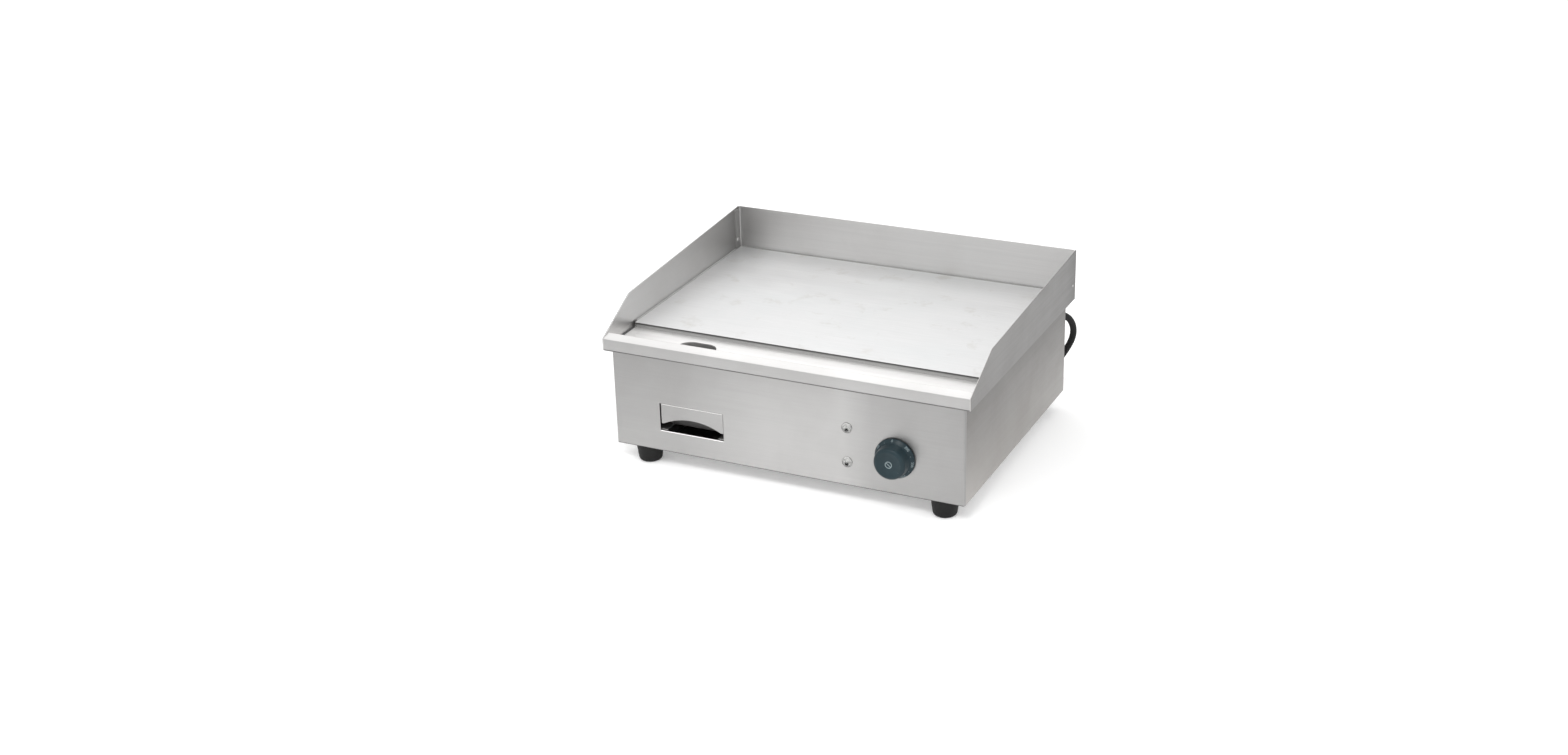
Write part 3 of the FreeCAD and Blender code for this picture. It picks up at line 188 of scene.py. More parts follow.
class Shader:
    """A node material under construction."""

    def __init__(self, name, **settings):
        self.material = bpy.data.materials.new(name)
        self.material.use_nodes = True
        self.tree = self.material.node_tree
        self.surface = self.tree.nodes["Principled BSDF"]
        for label, value in settings.items():
            self.surface.inputs[label.replace("_", " ")].default_value = value
        coordinates = self.tree.nodes.new("ShaderNodeTexCoord").outputs
        self.place = coordinates["Object"]
        self.within = coordinates["Generated"]

    def add(self, kind, inputs=None, **properties):
        """A new node with its properties set and its inputs fed."""
        node = self.tree.nodes.new("ShaderNode" + kind)
        for label, value in properties.items():
            setattr(node, label, value)
        for label, value in (inputs or {}).items():
            feed(self.tree, node.inputs[label], value)
        return node

    def noise(self, scale, detail=4.0, roughness=0.55, distortion=0.0, stretch=(1, 1, 1)):
        place = self.add("Mapping", {"Vector": self.place, "Scale": stretch}).outputs["Vector"]
        settings = {"Vector": place, "Scale": scale, "Detail": detail, "Roughness": roughness,
                    "Distortion": distortion}
        return self.add("TexNoise", settings).outputs["Fac"]

    def span(self, value, low, high, out_low, out_high):
        """Takes value from the range low to high over to out_low to out_high, and stops there."""
        settings = {"Value": value, "From Min": low, "From Max": high,
                    "To Min": out_low, "To Max": out_high}
        return self.add("MapRange", settings).outputs["Result"]

    def combine(self, first, second, operation="ADD"):
        node = self.add("Math", {0: first, 1: second}, operation=operation)
        return node.outputs["Value"]

    def tint(self, factor, first, second, blend="MIX"):
        """Colour between first and second as factor goes from 0 to 1."""
        node = self.add("Mix", data_type="RGBA", blend_type=blend)
        for index, value in ((MIX_FACTOR, factor), (MIX_FIRST, first), (MIX_SECOND, second)):
            feed(self.tree, node.inputs[index], value)
        return node.outputs[MIX_RESULT]

    def times(self, first, second):
        """The product of two colours."""
        return self.tint(1.0, first, second, "MULTIPLY")

    def ramp(self, axis, stops):
        """Grey that runs through the (share of the piece's own length, grey) stops."""
        share = self.add("SeparateXYZ", {0: self.within}).outputs[axis]
        node = self.add("ValToRGB", {"Fac": share})
        points = node.color_ramp.elements
        while len(points) < len(stops):
            points.new(0.5)
        for point, (position, value) in zip(points, stops):
            point.position = position
            point.color = grey(value)
        return node.outputs["Color"]

    def upward(self, on_sides, on_top):
        """One value where the surface stands upright and another where it faces up."""
        normal = self.add("NewGeometry").outputs["Normal"]
        height = self.add("SeparateXYZ", {0: normal}).outputs["Z"]
        return self.span(height, UPRIGHT, FACING_UP, on_sides, on_top)

    def set(self, label, value):
        self.tree.links.new(value, self.surface.inputs[label])

    def bump(self, height, strength, distance):
        settings = {"Height": height, "Strength": strength, "Distance": distance}
        self.set("Normal", self.add("Bump", settings).outputs["Normal"])


# ---- materials ---------------------------------------------------------------------------
BRUSH_STRETCH = 0.012               # noise scale along the grain, against 1 across it
GROUND_STRETCH = 0.02
DARK_STREAK, LIGHT_STREAK = 0.955, 1.04     # shares of the steel's own tone
HANDLED = 0.86


def brushed(name, tone, grain, warmth=0.01, rough=(0.30, 0.44), metallic=1.0, painted_shading=(),
            sides=None):
    """Brushed stainless: fine streaks along the grain axis, wider bands, faint handling marks.

    painted_shading holds (axis, stops) of painted light and shade along the sheet; sides is the
    gain of upright faces, which paints shade on them against faces that look up.
    upright faces.
    """
    shader = Shader(name, Metallic=metallic)
    along = tuple(BRUSH_STRETCH if axis == grain else 1 for axis in "XYZ")
    fine = shader.noise(1400.0, 3.0, 0.6, stretch=along)
    bands = shader.noise(160.0, 4.0, 0.6, stretch=along)
    marks = shader.noise(9.0, 5.0, 0.6, distortion=0.4)
    mixed = shader.combine(shader.combine(fine, bands), 0.5, "MULTIPLY")
    shade = shader.span(mixed, 0.35, 0.65, 0.0, 1.0)
    base = shader.tint(shade, grey(tone * DARK_STREAK, warmth), grey(tone * LIGHT_STREAK, warmth))
    handled = shader.span(marks, 0.45, 0.75, 0.0, 0.35)
    marks_and_painted_shade = shader.tint(handled, base, grey(tone * HANDLED, warmth * 2))
    # Painted light and shade: tone changes along the sheet, and darker upright faces.
    for axis, stops in painted_shading:
        marks_and_painted_shade = shader.times(marks_and_painted_shade, shader.ramp(axis, stops))
    if sides:
        marks_and_painted_shade = shader.times(marks_and_painted_shade, shader.upward(sides, 1.0))
    shader.set("Base Color", marks_and_painted_shade)
    shader.set("Roughness", shader.combine(shader.span(mixed, 0.3, 0.7, rough[0], rough[1]),
                                           shader.span(marks, 0.3, 0.7, -0.03, 0.05)))
    shader.bump(mixed, 0.18, 0.02 * MM)
    return shader.material


def ground_plate(name):
    """Cooking plate: ground top with cloudy heat marks and stains and painted light towards the
    back; mill scale on its sides with painted shade towards their top edge.
    """
    shader = Shader(name, Metallic=0.75)
    top = shader.upward(0.0, 1.0)
    lines = shader.noise(900.0, 3.0, 0.6, stretch=(GROUND_STRETCH, 1, 1))
    clouds = shader.noise(5.0, 6.0, 0.6, distortion=0.6)
    spots = shader.noise(26.0, 5.0, 0.65, distortion=0.2)
    base = shader.tint(shader.span(lines, 0.3, 0.7, 0.0, 1.0), grey(0.66), grey(0.73))
    cloudy = shader.tint(shader.span(clouds, 0.42, 0.7, 0.0, 0.5), base, (0.62, 0.64, 0.64, 1))
    stain = shader.span(spots, 0.58, 0.74, 0.0, 0.45)
    stains_and_painted_light = shader.tint(stain, cloudy, (0.50, 0.48, 0.44, 1))
    scale = shader.tint(clouds, (0.9, 0.9, 0.9, 1), (1, 1, 0.98, 1))
    # Painted shade: the sides darken towards their top edge.
    scale = shader.times(scale, shader.ramp("Z", PLATE_SIDE_SHADE))
    # Painted light: the top brightens towards the back.
    stains_and_painted_light = shader.times(stains_and_painted_light, shader.ramp("Y", PLATE_PAINTED_LIGHT))
    shader.set("Base Color", shader.tint(top, scale, stains_and_painted_light))
    shader.set("Roughness", shader.combine(shader.span(lines, 0.3, 0.7, 0.34, 0.46),
                                           shader.span(clouds, 0.3, 0.7, -0.04, 0.06)))
    shader.bump(shader.combine(lines, clouds), 0.2, 0.03 * MM)
    return shader.material


def moulded(name, colour, rough=0.5, lift=0.12, grain=900.0, spread=0.15, **settings):
    """Moulded plastic or rubber: a fine skin texture and slightly uneven sheen."""
    shader = Shader(name, **settings)
    skin = shader.noise(grain, 4.0, 0.6)
    cloud = shader.noise(30.0, 4.0, 0.6)
    pale = opaque(min(1.0, part * (1 + 2 * spread) + 0.004) for part in colour)
    worn = shader.span(cloud, 0.35, 0.7, 0.0, 1.0)
    shader.set("Base Color", shader.tint(worn, opaque(colour), pale))
    shader.set("Roughness", shader.span(shader.combine(skin, cloud), 0.7, 1.3,
                                        rough - 0.08, rough + 0.1))
    shader.bump(skin, lift, 0.08 * MM)
    return shader.material


def fibre(name, colour):
    """Matted ceramic fibre or woven sleeve."""
    shader = Shader(name, Sheen_Weight=0.3)
    strands = shader.noise(420.0, 6.0, 0.7, distortion=1.2)
    dark = opaque(part * 0.72 for part in colour)
    depth = shader.span(strands, 0.35, 0.65, 0.0, 1.0)
    shader.set("Base Color", shader.tint(depth, dark, opaque(colour)))
    shader.set("Roughness", shader.span(strands, 0.3, 0.7, 0.8, 0.95))
    shader.bump(strands, 0.6, 0.3 * MM)
    return shader.material


def heat_tinted(name):
    """Sheathed heater: dark brown and straw heat colours in bands."""
    shader = Shader(name, Metallic=0.9)
    bands = shader.noise(24.0, 4.0, 0.6)
    shader.set("Base Color", shader.tint(shader.span(bands, 0.35, 0.65, 0.0, 1.0),
                                         (0.16, 0.14, 0.12, 1), (0.30, 0.24, 0.20, 1)))
    shader.set("Roughness", shader.span(bands, 0.3, 0.7, 0.42, 0.6))
    shader.bump(shader.noise(700.0), 0.2, 0.04 * MM)
    return shader.material


def clear_lens(name):
    """Clear lamp lens with a trace of haze."""
    shader = Shader(name, Transmission_Weight=1.0, IOR=1.16)
    haze = shader.noise(60.0)
    shader.set("Base Color", shader.tint(haze, (0.90, 0.90, 0.88, 1), (0.97, 0.97, 0.95, 1)))
    shader.set("Roughness", shader.span(haze, 0.3, 0.7, 0.02, 0.05))
    return shader.material


def lamp_dish(name):
    """Pale reflector, with a painted highlight that brightens it towards its upper edge."""
    shader = Shader(name, Metallic=0.2)
    haze = shader.noise(300.0)
    # Painted highlight: brighter towards the top.
    level = shader.ramp("Z", DISH_PAINTED_HIGHLIGHT)
    shader.set("Base Color", shader.times(level, shader.tint(haze, grey(0.96), grey(1.0))))
    shader.set("Roughness", shader.span(haze, 0.3, 0.7, 0.25, 0.35))
    return shader.material


# Painted light and shade along a piece: (share of its length on an axis, gain) stops.
PLATE_SIDE_SHADE = [(0.0, 0.46), (0.5, 0.40), (0.72, 0.12), (1.0, 0.05)]
PLATE_PAINTED_LIGHT = [(0.0, 1.0), (0.7, 1.0), (1.0, 1.12)]
FRONT_PAINTED_SHEEN = [(0.0, 0.93), (0.2, 0.96), (0.46, 1.10), (0.67, 1.09), (0.75, 0.90), (1.0, 0.86)]
FRONT_PAINTED_RISE = [(0.0, 1.12), (0.4, 1.02), (1.0, 0.93)]
SIDE_PAINTED_SHEEN = [(0.0, 1.15), (0.5, 0.74), (1.0, 0.41)]
SIDE_PAINTED_RUN = [(0.0, 1.2), (0.25, 1.06), (0.6, 0.98), (1.0, 0.86)]
CORNER_PAINTED_SHADE = [(0.0, 0.66), (0.03, 0.72), (0.1, 0.97), (0.15, 1.0)]
GUARD_PAINTED_SHEEN = [(0.0, 1.3), (0.35, 1.1), (0.7, 1.02), (0.9, 0.86), (1.0, 0.62)]
TROUGH_PAINTED_LIGHT = [(0.18, 1.0), (0.3, 1.25)]
BACK_OUTSIDE_SHADE = [(0.965, 1.0), (0.995, 0.68)]
LEFT_OUTSIDE_SHADE = [(0.005, 0.55), (0.04, 1.0)]
RIGHT_OUTSIDE_SHADE = [(0.96, 1.0), (0.995, 0.34)]
DISH_PAINTED_HIGHLIGHT = [(0.0, 0.36), (0.6, 0.40), (0.85, 0.60), (1.0, 0.62)]

# The brushed steels are one stainless steel; their tones differ from piece to piece as painted
# light and shade.
MATERIALS = {
    # Painted light: the front panel is brighter in its middle and towards its bottom.
    "front": brushed("front_steel", 0.36, "X", painted_shading=[("X", FRONT_PAINTED_SHEEN), ("Z", FRONT_PAINTED_RISE)]),
    "steel_x": brushed("brushed_steel_x", 0.35, "X"),
    # Painted light and shade: the side panels are darker towards the top and the back.
    "steel_y": brushed("brushed_steel_y", 0.31, "Y", 0.035,
                       painted_shading=[("Z", SIDE_PAINTED_SHEEN), ("Y", SIDE_PAINTED_RUN)]),
    # Painted light and shade: the guards are brighter at the front, darker at the back corners and
    # on their outer faces.
    "guard_x": brushed("guard_steel_x", 0.68, "X",
                       painted_shading=[("Y", BACK_OUTSIDE_SHADE), ("X", CORNER_PAINTED_SHADE)]),
    "guard_left": brushed("guard_steel_left", 0.49, "Y",
                          painted_shading=[("Y", GUARD_PAINTED_SHEEN), ("X", LEFT_OUTSIDE_SHADE)]),
    "guard_right": brushed("guard_steel_right", 0.49, "Y", 0.02,
                           painted_shading=[("Y", GUARD_PAINTED_SHEEN), ("X", RIGHT_OUTSIDE_SHADE)]),
    # Painted light and shade: upright faces at 0.60 of the tone of faces that look up, and the
    # floor brighter behind the rim.
    "trough": brushed("trough_steel", 0.64, "X", metallic=0.7, rough=(0.36, 0.5), sides=0.60,
                      painted_shading=[("Y", TROUGH_PAINTED_LIGHT)]),
    "inner": brushed("mill_steel", 0.50, "X", rough=(0.36, 0.5)),
    "fastener": brushed("fastener_steel", 0.62, "Z", rough=(0.25, 0.38)),
    "plate": ground_plate("ground_plate_steel"),
    "rubber": moulded("foot_rubber", (0.005, 0.005, 0.005), 0.6, Specular_IOR_Level=0.25),
    "cord": moulded("cord_rubber", (0.004, 0.004, 0.004), 0.6, grain=1500.0,
                    Specular_IOR_Level=0.2),
    "knob": moulded("knob_plastic", (0.007, 0.018, 0.023), 0.36, grain=1300.0, spread=0.25,
                    Specular_IOR_Level=0.22, Sheen_Weight=0.12, Sheen_Roughness=0.4),
    "housing": moulded("housing_plastic", (0.02, 0.02, 0.02), 0.5),
    "red": moulded("red_plastic", (0.45, 0.02, 0.015), 0.35),
    "porcelain": moulded("porcelain", (0.78, 0.75, 0.68), 0.22, lift=0.05, Coat_Weight=0.5),
    "fibre": fibre("ceramic_fibre", (0.78, 0.75, 0.68)),
    "sleeve": fibre("glass_sleeve", (0.72, 0.70, 0.62)),
    "heater": heat_tinted("heater_sheath"),
    "copper": brushed("capillary_copper", 0.5, "Y", 0.3, (0.3, 0.45)),
    "lens": clear_lens("clear_lens"),
    "print": moulded("printed_marks", (0.15, 0.19, 0.20), 0.5),
    # Painted highlight: near-white steel for the bright lines at the drawer's opening.
    "edge": brushed("painted_highlight_steel", 0.95, "X", rough=(0.3, 0.4), metallic=0.4),
    "dish": lamp_dish("lamp_dish"),
    "seal": moulded("plate_seal", (0.30, 0.30, 0.295), 0.5),
    # Painted shade: dark beads standing in for the shadow lines under the rim and the guards.
    "shadow_line_paint": moulded("shadow_line_dark", (0.15, 0.15, 0.148), 0.5, Metallic=0.6),
    # Painted shade: near-black for the shadow line under the front panel and the shadow wedges by
    # the trough.
    "wedge": moulded("painted_shadow_dark", (0.045, 0.045, 0.044), 0.5),
    "dark": brushed("dark_steel", 0.18, "X", rough=(0.5, 0.6)),
}

FEET = ["foot_front_left", "foot_front_right", "foot_rear_left", "foot_rear_right"]
FINISHES = {
    "front": ["front_panel"],
    "steel_x": ["drawer_front"],
    "steel_y": ["left_side_panel", "right_side_panel"],
    "guard_x": ["back_guard"],
    "guard_left": ["left_guard"],
    "guard_right": ["right_guard"],
    "trough": ["grease_trough"],
    "plate": ["griddle_plate"],
    "inner": ["base_plate", "back_panel", "drip_chute", "drawer_rail_left", "drawer_rail_right",
              "heat_shield", "element_clamp_bars", "bulb_clips", "lamp_clips"],
    "dark": ["drawer_box"],
    "fastener": ["back_panel_screws", "guard_rivets", "plate_studs", "stud_nuts", "foot_screws",
                 "foot_nuts", "thermostat_screws", "earth_stud", "thermostat_shaft",
                 "limiter_nut", "plug_pins"],
    "heater": ["front_element", "rear_element"],
    "fibre": ["plate_gasket", "insulation_pad"],
    "rubber": FEET,
    "cord": ["strain_relief"],
    "housing": ["thermostat_body", "limiter_body", "upper_lamp_body", "lower_lamp_body",
                "gland_body", "gland_locknut"],
    "red": ["reset_button"],
    "copper": ["thermostat_probe", "limiter_probe"],
    "porcelain": ["terminal_block"],
    "sleeve": ["supply_wires", "load_wires", "element_wires"],
    "lens": ["upper_lamp_lens", "lower_lamp_lens"],
}
EDGE_WIDTH = 0.3 * MM
SOFT_EDGE_WIDTH = 0.5 * MM
SOFT_EDGED = ["griddle_plate"] + FEET
WELD_DISTANCE = 1e-6
FLAT_ANGLE = math.radians(0.4)              # faces this near to one plane are joined
EDGE_ANGLE = math.radians(32)               # folds sharper than this are rounded


def dress_cad(node, material):
    """Gives a CAD node its material and, by modifiers only, rounded edges and smooth curves."""
    part = nodes[node]
    part.data.materials.clear()
    part.data.materials.append(material)
    if "custom_normal" in part.data.attributes:
        part.data.attributes.remove(part.data.attributes["custom_normal"])
    part.data.shade_smooth()
    weld = part.modifiers.new("weld", "WELD")
    weld.merge_threshold = WELD_DISTANCE
    flat = part.modifiers.new("flat", "DECIMATE")
    flat.decimate_type = "DISSOLVE"
    flat.angle_limit = FLAT_ANGLE
    edge = part.modifiers.new("edge", "BEVEL")
    edge.width = SOFT_EDGE_WIDTH if node in SOFT_EDGED else EDGE_WIDTH
    edge.segments = 2
    edge.limit_method = "ANGLE"
    edge.angle_limit = EDGE_ANGLE
    edge.harden_normals = True


for finish, members in FINISHES.items():
    for member in members:
        dress_cad(member, MATERIALS[finish])


# ---- temperature knob; millimetres up to make_knob -----------------------------------------
KNOB_PROFILE = (
    [(0, 15.2), (3.1, 15.2), (3.1, 4.0), (7.5, 4.0), (7.5, 20.2), (20.1, 20.2), (20.3, 20.0),
     (20.3, 1.3), (20.5, 1.2), (28.3, 1.2)]
    + arc((28.3, 1.9), 0.7, -60, 0, 3)
    + [(29.0, 3.0), (28.9, 3.4), (28.6, 3.8), (25.0, 7.3), (24.5, 7.6), (24.0, 8.1), (23.7, 8.9)]
    + arc((18.3, 19.9), 4.6, 4, 90, 9)
    + [(17.2, 24.5), (16.8, 24.4), (16.4, 24.25), (0, 24.2)]
)
SKIRT_MIDDLE = (26.8, 5.55)                 # radius and height halfway down the sloping skirt
SKIRT_OUTWARD = (0.717, -0.697)             # down the slope; the same two give its normal
DIAL_NUMBERS = ["0", "50", "100", "150", "200", "250", "300"]
DIAL_START = 95.0                           # degrees
DIAL_STEP = 51.7
NUMBER_HEIGHT = 3.8
SIZE_PER_HEIGHT = 1.4                       # font size against the height of its digits
DIGIT_DEPTH = 0.05
DIGIT_BOLDNESS = 0.06
DIGIT_LIFT = 0.03
TICK_HALF_WIDTH = 0.25
TICK_INNER, TICK_OUTER = -2.0, -0.4         # along the skirt, from its middle
TICK_FLOOR, TICK_TOP = -0.05, 0.07
BOX_FACES = ((3, 2, 1, 0), (4, 5, 6, 7), (0, 1, 5, 4), (1, 2, 6, 5), (2, 3, 7, 6), (3, 0, 4, 7))
FACE_HEIGHT = 24.2
MARK_FLOOR = FACE_HEIGHT - 0.05             # the emblem starts just inside the knob's face
RING_INNER, RING_OUTER, RING_TOP = 3.9, 5.1, FACE_HEIGHT + 0.08
RING_PROFILE = [(RING_INNER, MARK_FLOOR), (RING_OUTER, MARK_FLOOR), (RING_OUTER, RING_TOP),
                (RING_INNER, RING_TOP), (RING_INNER, MARK_FLOOR)]
DOT_PROFILE = [(0, MARK_FLOOR), (0.9, MARK_FLOOR), (0.9, FACE_HEIGHT + 0.05),
               (0.6, FACE_HEIGHT + 0.12), (0, FACE_HEIGHT + 0.12)]
DOT_PLACE = (14.2, -9.6, 0)
BAR_TURN = math.radians(-40)
BAR_LENGTH, BAR_WIDTH, BAR_DEPTH = 7.9, 1.1, 0.16


def skirt_point(angle, across, along, lift):
    """Point in metres on the knob's sloping skirt, round from the given angle."""
    radius = SKIRT_MIDDLE[0] + SKIRT_OUTWARD[0] * along - SKIRT_OUTWARD[1] * lift
    height = SKIRT_MIDDLE[1] + SKIRT_OUTWARD[1] * along + SKIRT_OUTWARD[0] * lift
    turn = math.radians(angle) - across / radius
    return Vector((radius * math.cos(turn), radius * math.sin(turn), height)) * MM


def text_mesh(text, height):
    """Generic digits as a closed mesh, centred."""
    curve = bpy.data.curves.new("digits", "FONT")
    curve.body = text
    curve.size = height * SIZE_PER_HEIGHT
    curve.align_x = "CENTER"
    curve.align_y = "CENTER"
    curve.extrude = DIGIT_DEPTH
    curve.offset = DIGIT_BOLDNESS
    holder = bpy.data.objects.new("digits", curve)
    mesh = bpy.data.meshes.new_from_object(holder)
    bpy.data.objects.remove(holder)
    return mesh


def add_number(work, place, text, angle):
    """Raised digits on the skirt."""
    digits = text_mesh(text, NUMBER_HEIGHT)
    start = len(work.verts)
    work.from_mesh(digits)
    work.verts.ensure_lookup_table()
    for vert in work.verts[start:]:
        vert.co = place @ skirt_point(angle, vert.co.x, vert.co.y, vert.co.z + DIGIT_LIFT)


def add_tick(work, place, angle):
    """Short raised line on the skirt, halfway between two numbers."""
    corners = []
    for lift in (TICK_FLOOR, TICK_TOP):
        for across, along in ((-TICK_HALF_WIDTH, TICK_INNER), (TICK_HALF_WIDTH, TICK_INNER),
                              (TICK_HALF_WIDTH, TICK_OUTER), (-TICK_HALF_WIDTH, TICK_OUTER)):
            corners.append(work.verts.new(place @ skirt_point(angle, across, along, lift)))
    for face in BOX_FACES:
        work.faces.new([corners[index] for index in face])


def make_knob():
    low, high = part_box("control_knob")
    middle = (low + high) / 2
    place = on_panel(middle.x, middle.z)
    knob = link("knob_shell", turned("knob_shell", KNOB_PROFILE, place, 96),
                "temperature_knob", MATERIALS["knob"], 28)
    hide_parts("control_knob")

    def marks(work):
        for number, text in enumerate(DIAL_NUMBERS):
            add_number(work, place, text, DIAL_START + DIAL_STEP * number)
        for number in range(1, 2 * len(DIAL_NUMBERS) - 2, 2):
            add_tick(work, place, DIAL_START + DIAL_STEP * number / 2)

    link("knob_numbers", mesh_from("knob_numbers", marks),
         "temperature_knob", MATERIALS["print"])

    def emblem(work):
        """Plain ring with a bar across it, and an index dot near the edge."""
        lathe(work, scaled(RING_PROFILE), place, 48)
        lathe(work, scaled(DOT_PROFILE), place @ Matrix.Translation(Vector(DOT_PLACE) * MM), 24)
        bar = place @ Matrix.Rotation(BAR_TURN, 4, "Z")
        for vert in bmesh.ops.create_cube(work, size=1.0)["verts"]:
            x, y, z = vert.co
            corner = Vector((x * BAR_LENGTH, y * BAR_WIDTH, FACE_HEIGHT + z * BAR_DEPTH))
            vert.co = bar @ (corner * MM)

    link("knob_emblem", mesh_from("knob_emblem", emblem),
         "temperature_knob", MATERIALS["print"])


# ---- indicator lamps; millimetres ----------------------------------------------------------
DISH_PROFILE = [(0, 0.12), (7.1, 0.12), (7.2, 0.3), (7.0, 0.5), (5.4, 0.62), (4.3, 0.5),
                (2.4, 0.3), (0, 0.3)]
TIP_PROFILE = [(0, 0.2), (2.2, 0.2), (2.2, 1.1), (1.9, 1.7), (1.4, 2.1), (0.6, 2.35), (0, 2.4)]
TIP_PLACE = (-0.7, -3.0, 0)                 # from the middle of the dish


def make_lamp(name):
    """Pale dish, with a painted highlight towards its top, and dark tip behind the clear lens."""
    low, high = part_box(name + "_lens")
    middle = (low + high) / 2
    place = on_panel(middle.x, middle.z)
    link(name + "_dish", turned(name + "_dish", DISH_PROFILE, place, 48),
         "root", MATERIALS["dish"])
    tip_place = place @ Matrix.Translation(Vector(TIP_PLACE) * MM)
    link(name + "_tip", turned(name + "_tip", TIP_PROFILE, tip_place, 32),
         "root", MATERIALS["housing"])


# ---- seal between plate and guards; metres -------------------------------------------------
SEAL_START = 9.0 * MM                       # behind the plate's front edge
SEAL_DROP = 0.5 * MM                        # depth of its hollow; it climbs the guard as much
SEAL_BITE = 0.2 * MM                        # reach into the plate and the guards
SEAL_LIFT = 0.2 * MM
GUARD_SHEET = 1.5 * MM


def make_plate_seal():
    """Bead that fills the joint between the plate and the guards on three sides."""
    plate_low, plate_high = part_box("griddle_plate")
    _, guard_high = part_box("back_guard")
    half = guard_high.x
    wall_y = guard_high.y - GUARD_SHEET
    start_y = plate_low.y + SEAL_START
    top = plate_high.z
    bottom = plate_low.z + SEAL_LIFT
    outer = [(-half - SEAL_BITE, start_y), (-half - SEAL_BITE, wall_y + SEAL_BITE),
             (half + SEAL_BITE, wall_y + SEAL_BITE), (half + SEAL_BITE, start_y)]
    inner = [(plate_low.x + SEAL_BITE, start_y),
             (plate_low.x + SEAL_BITE, plate_high.y - SEAL_BITE),
             (plate_high.x - SEAL_BITE, plate_high.y - SEAL_BITE),
             (plate_high.x - SEAL_BITE, start_y)]
    section = ((0, bottom), (1, bottom), (1, top - SEAL_DROP), (0.6, top - SEAL_DROP * 1.5),
               (0.3, top - SEAL_DROP), (0, top + SEAL_DROP))      # (share of the way in, height)

    def build(work):
        rings = []
        for (ox, oy), (ix, iy) in zip(outer, inner):
            rings.append([work.verts.new((ox + (ix - ox) * share, oy + (iy - oy) * share, level))
                          for share, level in section])
        for before, after in zip(rings, rings[1:]):
            for index in range(len(before)):
                following = (index + 1) % len(before)
                work.faces.new([before[index], before[following], after[following], after[index]])
        work.faces.new(rings[0])
        work.faces.new(rings[-1])

    link("plate_seal", mesh_from("plate_seal", build),
         "root", MATERIALS["seal"], 50)


# ---- painted highlights of the drawer, painted shadow lines and shadow wedges; millimetres ---
OPENING_HEIGHT = 42.0
DRAWER_GAP = 0.6                            # above the drawer front
PANEL_SHEET = 1.2
SILL_DROP, SILL_REACH = 0.3, 0.7            # below the opening, and past the drawer's sides
SILL_HALF = (PANEL_SHEET * 0.6, 0.75)       # half width and half height, like the next _HALF pairs
LIP_SETBACK, LIP_DROP, LIP_INSET = 0.5, 0.9, 1.2
LIP_HALF = (0.65, 0.55)
SHADOW_LINE_SETBACK = 0.35                          # behind the face it edges
SHADOW_LINE_RISE = 0.25                             # above the edge
SHADOW_LINE_HALF = (0.5, 0.6)
PANEL_SHADOW_LINE_RISE, PANEL_SHADOW_LINE_INSET = 0.3, 1.5
GUARD_SHADOW_LINE_SETBACK, GUARD_SHADOW_LINE_INSET = 0.5, 0.4
GUARD_SHADOW_LINE_HALF = (0.5, 0.5)
WEDGE_START = 19.5                          # behind the rim's front face
WEDGE_GAP = 0.3                             # left before the plate, and above its underside
WEDGE_SETBACK = 0.8
WEDGE_HALF = (1.7, 1.5)


def make_drawer_highlights():
    """Painted highlights: bright beads on the sill of the drawer's opening and on the top edge of
    the drawer's front.
    """
    low, high = box_mm("drawer_front")
    sill_z = high.z + DRAWER_GAP - OPENING_HEIGHT - SILL_DROP
    sill_y = PANEL_Y / MM + PANEL_SHEET / 2
    link_beads("drawer_sill", "root", "edge",
               [((low.x - SILL_REACH, sill_y, sill_z), (high.x + SILL_REACH, sill_y, sill_z),
                 *SILL_HALF)])
    lip_y, lip_z = low.y + LIP_SETBACK, high.z - LIP_DROP
    link_beads("drawer_lip", "grease_drawer", "edge",
               [((low.x + LIP_INSET, lip_y, lip_z), (high.x - LIP_INSET, lip_y, lip_z),
                 *LIP_HALF)])


def make_shadow_lines():
    """Dark beads at the lower edges of the rim, the front panel and the side guards: painted shadow
    lines under them.
    """
    rim_low, rim_high = box_mm("grease_trough")
    panel_low, panel_high = box_mm("front_panel")
    rim_y, rim_z = rim_low.y + SHADOW_LINE_SETBACK, panel_high.z + SHADOW_LINE_RISE
    link_beads("rim_shadow_line", "root", "shadow_line_paint",
               [((rim_low.x, rim_y, rim_z), (rim_high.x, rim_y, rim_z), *SHADOW_LINE_HALF)])
    panel_y, panel_z = panel_low.y + SHADOW_LINE_SETBACK, panel_low.z + PANEL_SHADOW_LINE_RISE
    link_beads("panel_shadow_line", "root", "wedge",
               [((panel_low.x + PANEL_SHADOW_LINE_INSET, panel_y, panel_z),
                 (panel_high.x - PANEL_SHADOW_LINE_INSET, panel_y, panel_z), *SHADOW_LINE_HALF)])
    guard_low, guard_high = box_mm("right_guard")
    guard_x, guard_z = guard_high.x - GUARD_SHADOW_LINE_SETBACK, guard_low.z + SHADOW_LINE_RISE
    link_beads("guard_shadow_lines", "root", "shadow_line_paint",
               [((side * guard_x, guard_low.y + GUARD_SHADOW_LINE_INSET, guard_z),
                 (side * guard_x, guard_high.y - GUARD_SHADOW_LINE_INSET, guard_z), *GUARD_SHADOW_LINE_HALF)
                for side in (-1, 1)])


def make_trough_shadow_wedges():
    """Dark wedges where the trough meets the side guards: painted shade of the guards."""
    plate_low, _ = box_mm("griddle_plate")
    rim_low, rim_high = box_mm("grease_trough")
    start, end = rim_low.y + WEDGE_START, plate_low.y - WEDGE_GAP
    x, z = rim_high.x - WEDGE_SETBACK, plate_low.z + WEDGE_GAP
    link_beads("trough_shadow_wedges", "root", "wedge",
               [((side * x, start, z), (side * x, end, z), *WEDGE_HALF) for side in (-1, 1)])


